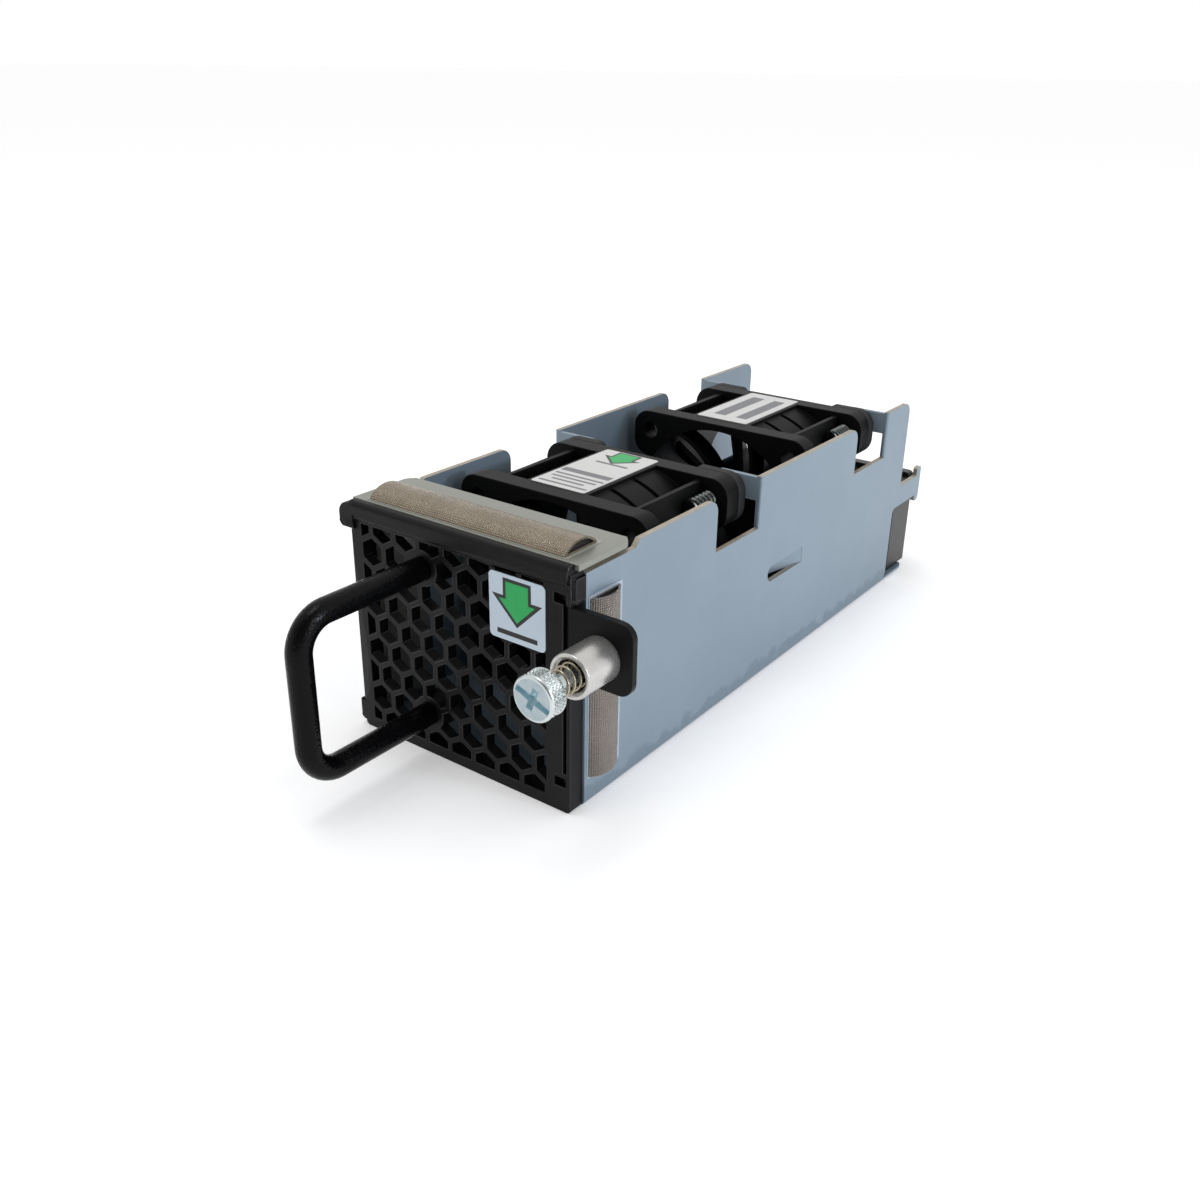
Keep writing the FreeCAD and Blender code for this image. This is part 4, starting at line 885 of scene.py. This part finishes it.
@dataclass
class Sticker:
    """A printed sticker: flat shapes of ink laid on the label's face."""

    lift: float = 0.012

    def arrow(self, points: Sequence[tuple[float, float]], grow: float) -> np.ndarray:
        """Counter-clockwise outline of an arrow, set out by a margin along each corner's outer bisector."""
        spots = np.array(points, float)
        back, ahead = spots - np.roll(spots, 1, 0), np.roll(spots, -1, 0) - spots
        back /= np.linalg.norm(back, axis=1)[:, None]
        ahead /= np.linalg.norm(ahead, axis=1)[:, None]
        out_back, out_ahead = np.stack([back[:, 1], -back[:, 0]], -1), np.stack([ahead[:, 1], -ahead[:, 0]], -1)
        middle = out_back + out_ahead
        return spots + middle * (grow * 2 / (middle ** 2).sum(1))[:, None]

    def print_shape(self, name: str, outline: np.ndarray, face: tuple[int, float, int], layer: int,
                    ink: Finish) -> None:
        """Lays one shape of ink on a face, given by its axis, its level and the way it looks."""
        axis, level, way = face
        low, high = sorted((level - way * 0.004, level + way * self.lift * layer))
        finish_piece(name, plate_mesh(name, outline, axis, low, high), [ink], TRAY, smooth=False)

    def edged_arrow(self, name: str, points: Sequence[tuple[float, float]], face: tuple[int, float, int],
                    edge: float, inset: float) -> None:
        """Lays a green arrow over a larger dark one."""
        self.print_shape(f"{name}_edge", self.arrow(points, edge), face, 1, BLACK_INK)
        self.print_shape(name, self.arrow(points, -inset), face, 2, GREEN_INK)

    def build(self) -> None:
        """Prints the front sticker and the two fan stickers, with plain bars where the real ones carry words."""
        down = [(10.25, 36.5), (10.25, 33.6), (8.5, 33.6), (12.6, 29.6), (16.7, 33.6), (15.05, 33.6), (15.05, 36.5)]
        front, top = (1, FRONT - 0.12, -1), (2, LABEL_TOP, 1)
        self.edged_arrow("front_arrow", down, front, 0.3, 0.25)
        self.print_shape("front_bar", rectangle((8.7, 16.5), (27.5, 28.3)), front, 1, BLACK_INK)
        # The front label's paper carries a painted tint of the cool light on the front.
        dress("front_label", COOL_LIT_STICKER)
        back = [(-3.9, 48.9), (-3.9, 46.1), (-4.9, 46.1), (-1.65, 43.0), (1.6, 46.1), (0.6, 46.1), (0.6, 48.9)]
        self.edged_arrow("fan_arrow", [(x, y + FRONT) for x, y in back], top, 0.25, 0.2)
        rows = {1: ((-4.6, 2.2, 42.0, 42.7), (-6.7, 3.6, 34.7, 36.4), (-6.5, 3.8, 32.9, 33.5), (-6.1, 3.2, 31.4, 32.0),
                    (-5.0, 1.8, 29.9, 30.5), (-6.5, 3.7, 28.2, 28.8)),
                2: ((-5.0, -2.3, 83.2, 99.6), (0.1, 2.6, 83.2, 99.6))}
        for fan, bars in rows.items():
            for number, (left, right, low, high) in enumerate(bars):
                shape = rectangle((left, right), (low + FRONT, high + FRONT))
                self.print_shape(f"fan_{fan}_bar_{number}", shape, top, 1, GREY_INK)
        dress("fan_1_label", TOP_STICKER)
        dress("fan_2_label", TOP_STICKER)


@dataclass
class Fan:
    """One fan, by the Y of its front."""

    number: int
    front: float
    depth: float = 28.0
    pad: float = 2.3
    sheet: float = 1.0

    def name(self, piece: str) -> str:
        """Name of one of the fan's nodes."""
        return f"fan_{self.number}_{piece}"

    def screws(self) -> None:
        """Makes the two coarse fixing screws, whose ends stand out in front of the rear flange."""
        front = FRONT + self.front
        tab_rear = front + self.depth + self.pad + self.sheet
        screws = [Screw(
            name=self.name("fixing_screws"), centre=(side * 16.0, 37.0), body=TRAY, node=self.name("screws"),
            head_face=tab_rear + 1.6, tip=front + 18.2, head_radius=2.8, head_height=1.6, head_round=0.7,
            shank_radius=1.2, thread_radius=1.65, thread_start=1.7, pitch=1.15, thread_depth=0.55, slot_half=0.0,
            slot_reach=0.0, cross_reach=1.35, recess_depth=0.9, recess_turn=0.4 * side) for side in (-1, 1)]
        # The fourth finish paints shade into the thread's root.
        make_screws(screws, 96, [DULL_ZINC, PASSIVATED, DULL_ZINC, ROOT_SHADE_ZINC], root_slot=3)

    def build(self) -> None:
        """Makes the fan's frame and dresses its rotor and motor."""
        eased_copy(self.name("housing"), self.name("frame"), [FAN_MOULDING], TRAY, 0.16)
        eased_copy(self.name("dampers"), self.name("pads"), [RUBBER], TRAY, 0.3)
        self.screws()
        for piece, finish in {
            "impeller": BLADE_MOULDING, "shaft": SHAFT_STEEL, "bearings": SHAFT_STEEL, "rotor_yoke": MOTOR_STEEL,
            "magnet": FERRITE, "stator_core": MOTOR_STEEL, "coils": COPPER_WIRE, "circuit_board": BOARD,
            "shaft_clip": SHAFT_STEEL,
        }.items():
            dress(self.name(piece), finish)
        LOG.info("fan %d dressed", self.number)


def dress(node: str, finish: Finish) -> None:
    """Gives a CAD node a finish in each of its slots."""
    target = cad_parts[node]
    for place in target.material_slots:
        place.material = finish.build()
    LOG.info("%s: %s", node, finish.name)


@dataclass
class RearConnector:
    """The blind-mating connector at the rear."""

    def build(self) -> None:
        """Dresses the housing, its contacts and screws."""
        eased_copy("rear_connector_housing", "connector_shell", [CONNECTOR_NYLON], TRAY, 0.12)
        dress("rear_connector_contacts", GOLD)
        dress("rear_connector_screws", ZINC_SCREW)


@dataclass
class Studio:
    """Pale floor, soft lights and the camera at the photograph's angle."""

    position: tuple[float, float, float] = (0.11465, -0.18217, 0.10526)
    azimuth: float = 36.223
    elevation: float = 24.550
    roll: float = 0.865
    lens: float = 34.97
    floor_size: float = 60.0
    table_light: float = 0.24
    air_bright: float = 1.0
    air_dark: float = 0.22

    def camera(self) -> None:
        """Places the camera by its azimuth, elevation and roll."""
        turn, rise, lean = (math.radians(value) for value in (self.azimuth, self.elevation, self.roll))
        back = Vector((math.sin(turn) * math.cos(rise), -math.cos(turn) * math.cos(rise), math.sin(rise)))
        level = Vector((math.cos(turn), math.sin(turn), 0))
        upright = back.cross(level)
        right = level * math.cos(lean) + upright * math.sin(lean)
        up = upright * math.cos(lean) - level * math.sin(lean)
        data = bpy.data.cameras.new("photo_camera")
        data.lens = self.lens
        data.sensor_width = 36.0
        data.sensor_fit = "HORIZONTAL"
        data.clip_start = 0.005
        camera = placed("photo_camera", data)
        camera.matrix_world = Matrix((
            (right.x, up.x, back.x, self.position[0]), (right.y, up.y, back.y, self.position[1]),
            (right.z, up.z, back.z, self.position[2]), (0, 0, 0, 1)))
        bpy.context.scene.camera = camera

    def floor(self) -> None:
        """Lays the pale floor under the tray: white acrylic, faintly lit from below."""
        half = self.floor_size / 2
        mesh = bpy.data.meshes.new("studio_floor")
        mesh.from_pydata([(-half, -half, 0), (half, -half, 0), (half, half, 0), (-half, half, 0)], [], [(0, 1, 2, 3)])
        paper, tree, shader = shaded("lit_white_acrylic")
        fibre = add(tree, "TexNoise", {"Vector": add(tree, "TexCoord").outputs["Object"]}, {"Scale": 90.0})
        tone = add(tree, "Mix", {0: fibre.outputs["Fac"]}, {6: linear("F6F6F6"), 7: linear("FAFAFA")},
                   data_type="RGBA")
        tree.links.new(tone.outputs[2], shader.inputs["Base Color"])
        shader.inputs["Roughness"].default_value = 0.9
        shader.inputs["Emission Color"].default_value = linear("FFFFFF")
        shader.inputs["Emission Strength"].default_value = self.table_light
        mesh.materials.append(paper)
        floor = placed("studio_floor", mesh)

    def lamp(self, name: str, spot: tuple[float, float, float], aim: tuple[float, float, float], size: float,
             watts: float, tint: str = "FFFFFF") -> None:
        """Adds a square soft light that looks at a point."""
        data = bpy.data.lights.new(name, "AREA")
        data.size = size
        data.energy = watts
        data.color = linear(tint)[:3]
        lamp = placed(name, data)
        lamp.location = spot
        lamp.rotation_euler = (Vector(aim) - Vector(spot)).to_track_quat("-Z", "Y").to_euler()

    def air(self) -> None:
        """Makes the room's light: bright all round, and darker behind the photographer."""
        world = bpy.data.worlds.new("studio_air")
        world.use_nodes = True
        tree = world.node_tree
        turn, rise = math.radians(self.azimuth), math.radians(35)
        dark_way = (math.sin(turn) * math.cos(rise), -math.cos(turn) * math.cos(rise), math.sin(rise))
        look = add(tree, "TexCoord")
        facing = add(tree, "VectorMath", {0: look.outputs["Generated"]}, {1: dark_way}, operation="DOT_PRODUCT")
        level = add(tree, "MapRange", {"Value": facing.outputs["Value"]},
                    {"From Min": 0.45, "From Max": 0.95, "To Min": self.air_bright, "To Max": self.air_dark},
                    interpolation_type="SMOOTHSTEP")
        background = tree.nodes["Background"]
        background.inputs["Color"].default_value = linear("FFFFFF")
        tree.links.new(level.outputs[0], background.inputs["Strength"])
        bpy.context.scene.world = world

    def build(self) -> None:
        """Sets up the studio."""
        self.camera()
        self.floor()
        self.air()
        bpy.context.scene.view_settings.view_transform = "Standard"
        self.lamp("overhead", (-0.1, -0.1, 0.9), (0.0, 0.0, 0.02), 0.3, 1.2)
        self.lamp("right_side", (0.9, -0.05, 0.5), (0.02, 0.0, 0.02), 0.35, 1.4)
        self.lamp("window", (0.93, 0.13, 0.24), (0.0, -0.07, 0.02), 0.12, 2.0, "DCE7FF")


def main() -> None:
    """Builds the tray from its floor up."""
    logging.basicConfig(level=logging.INFO, format="%(name)s: %(message)s")
    Studio().build()
    SheetMetal().build()
    Front().build()
    captive_screw()
    captive_spring()
    dress("captive_washer", ZINC_SCREW)
    Seals().build()
    Sticker().build()
    for number, front in ((1, 23.3), (2, 76.5)):
        Fan(number, front).build()
    RearConnector().build()


if __name__ == "__main__":
    main()
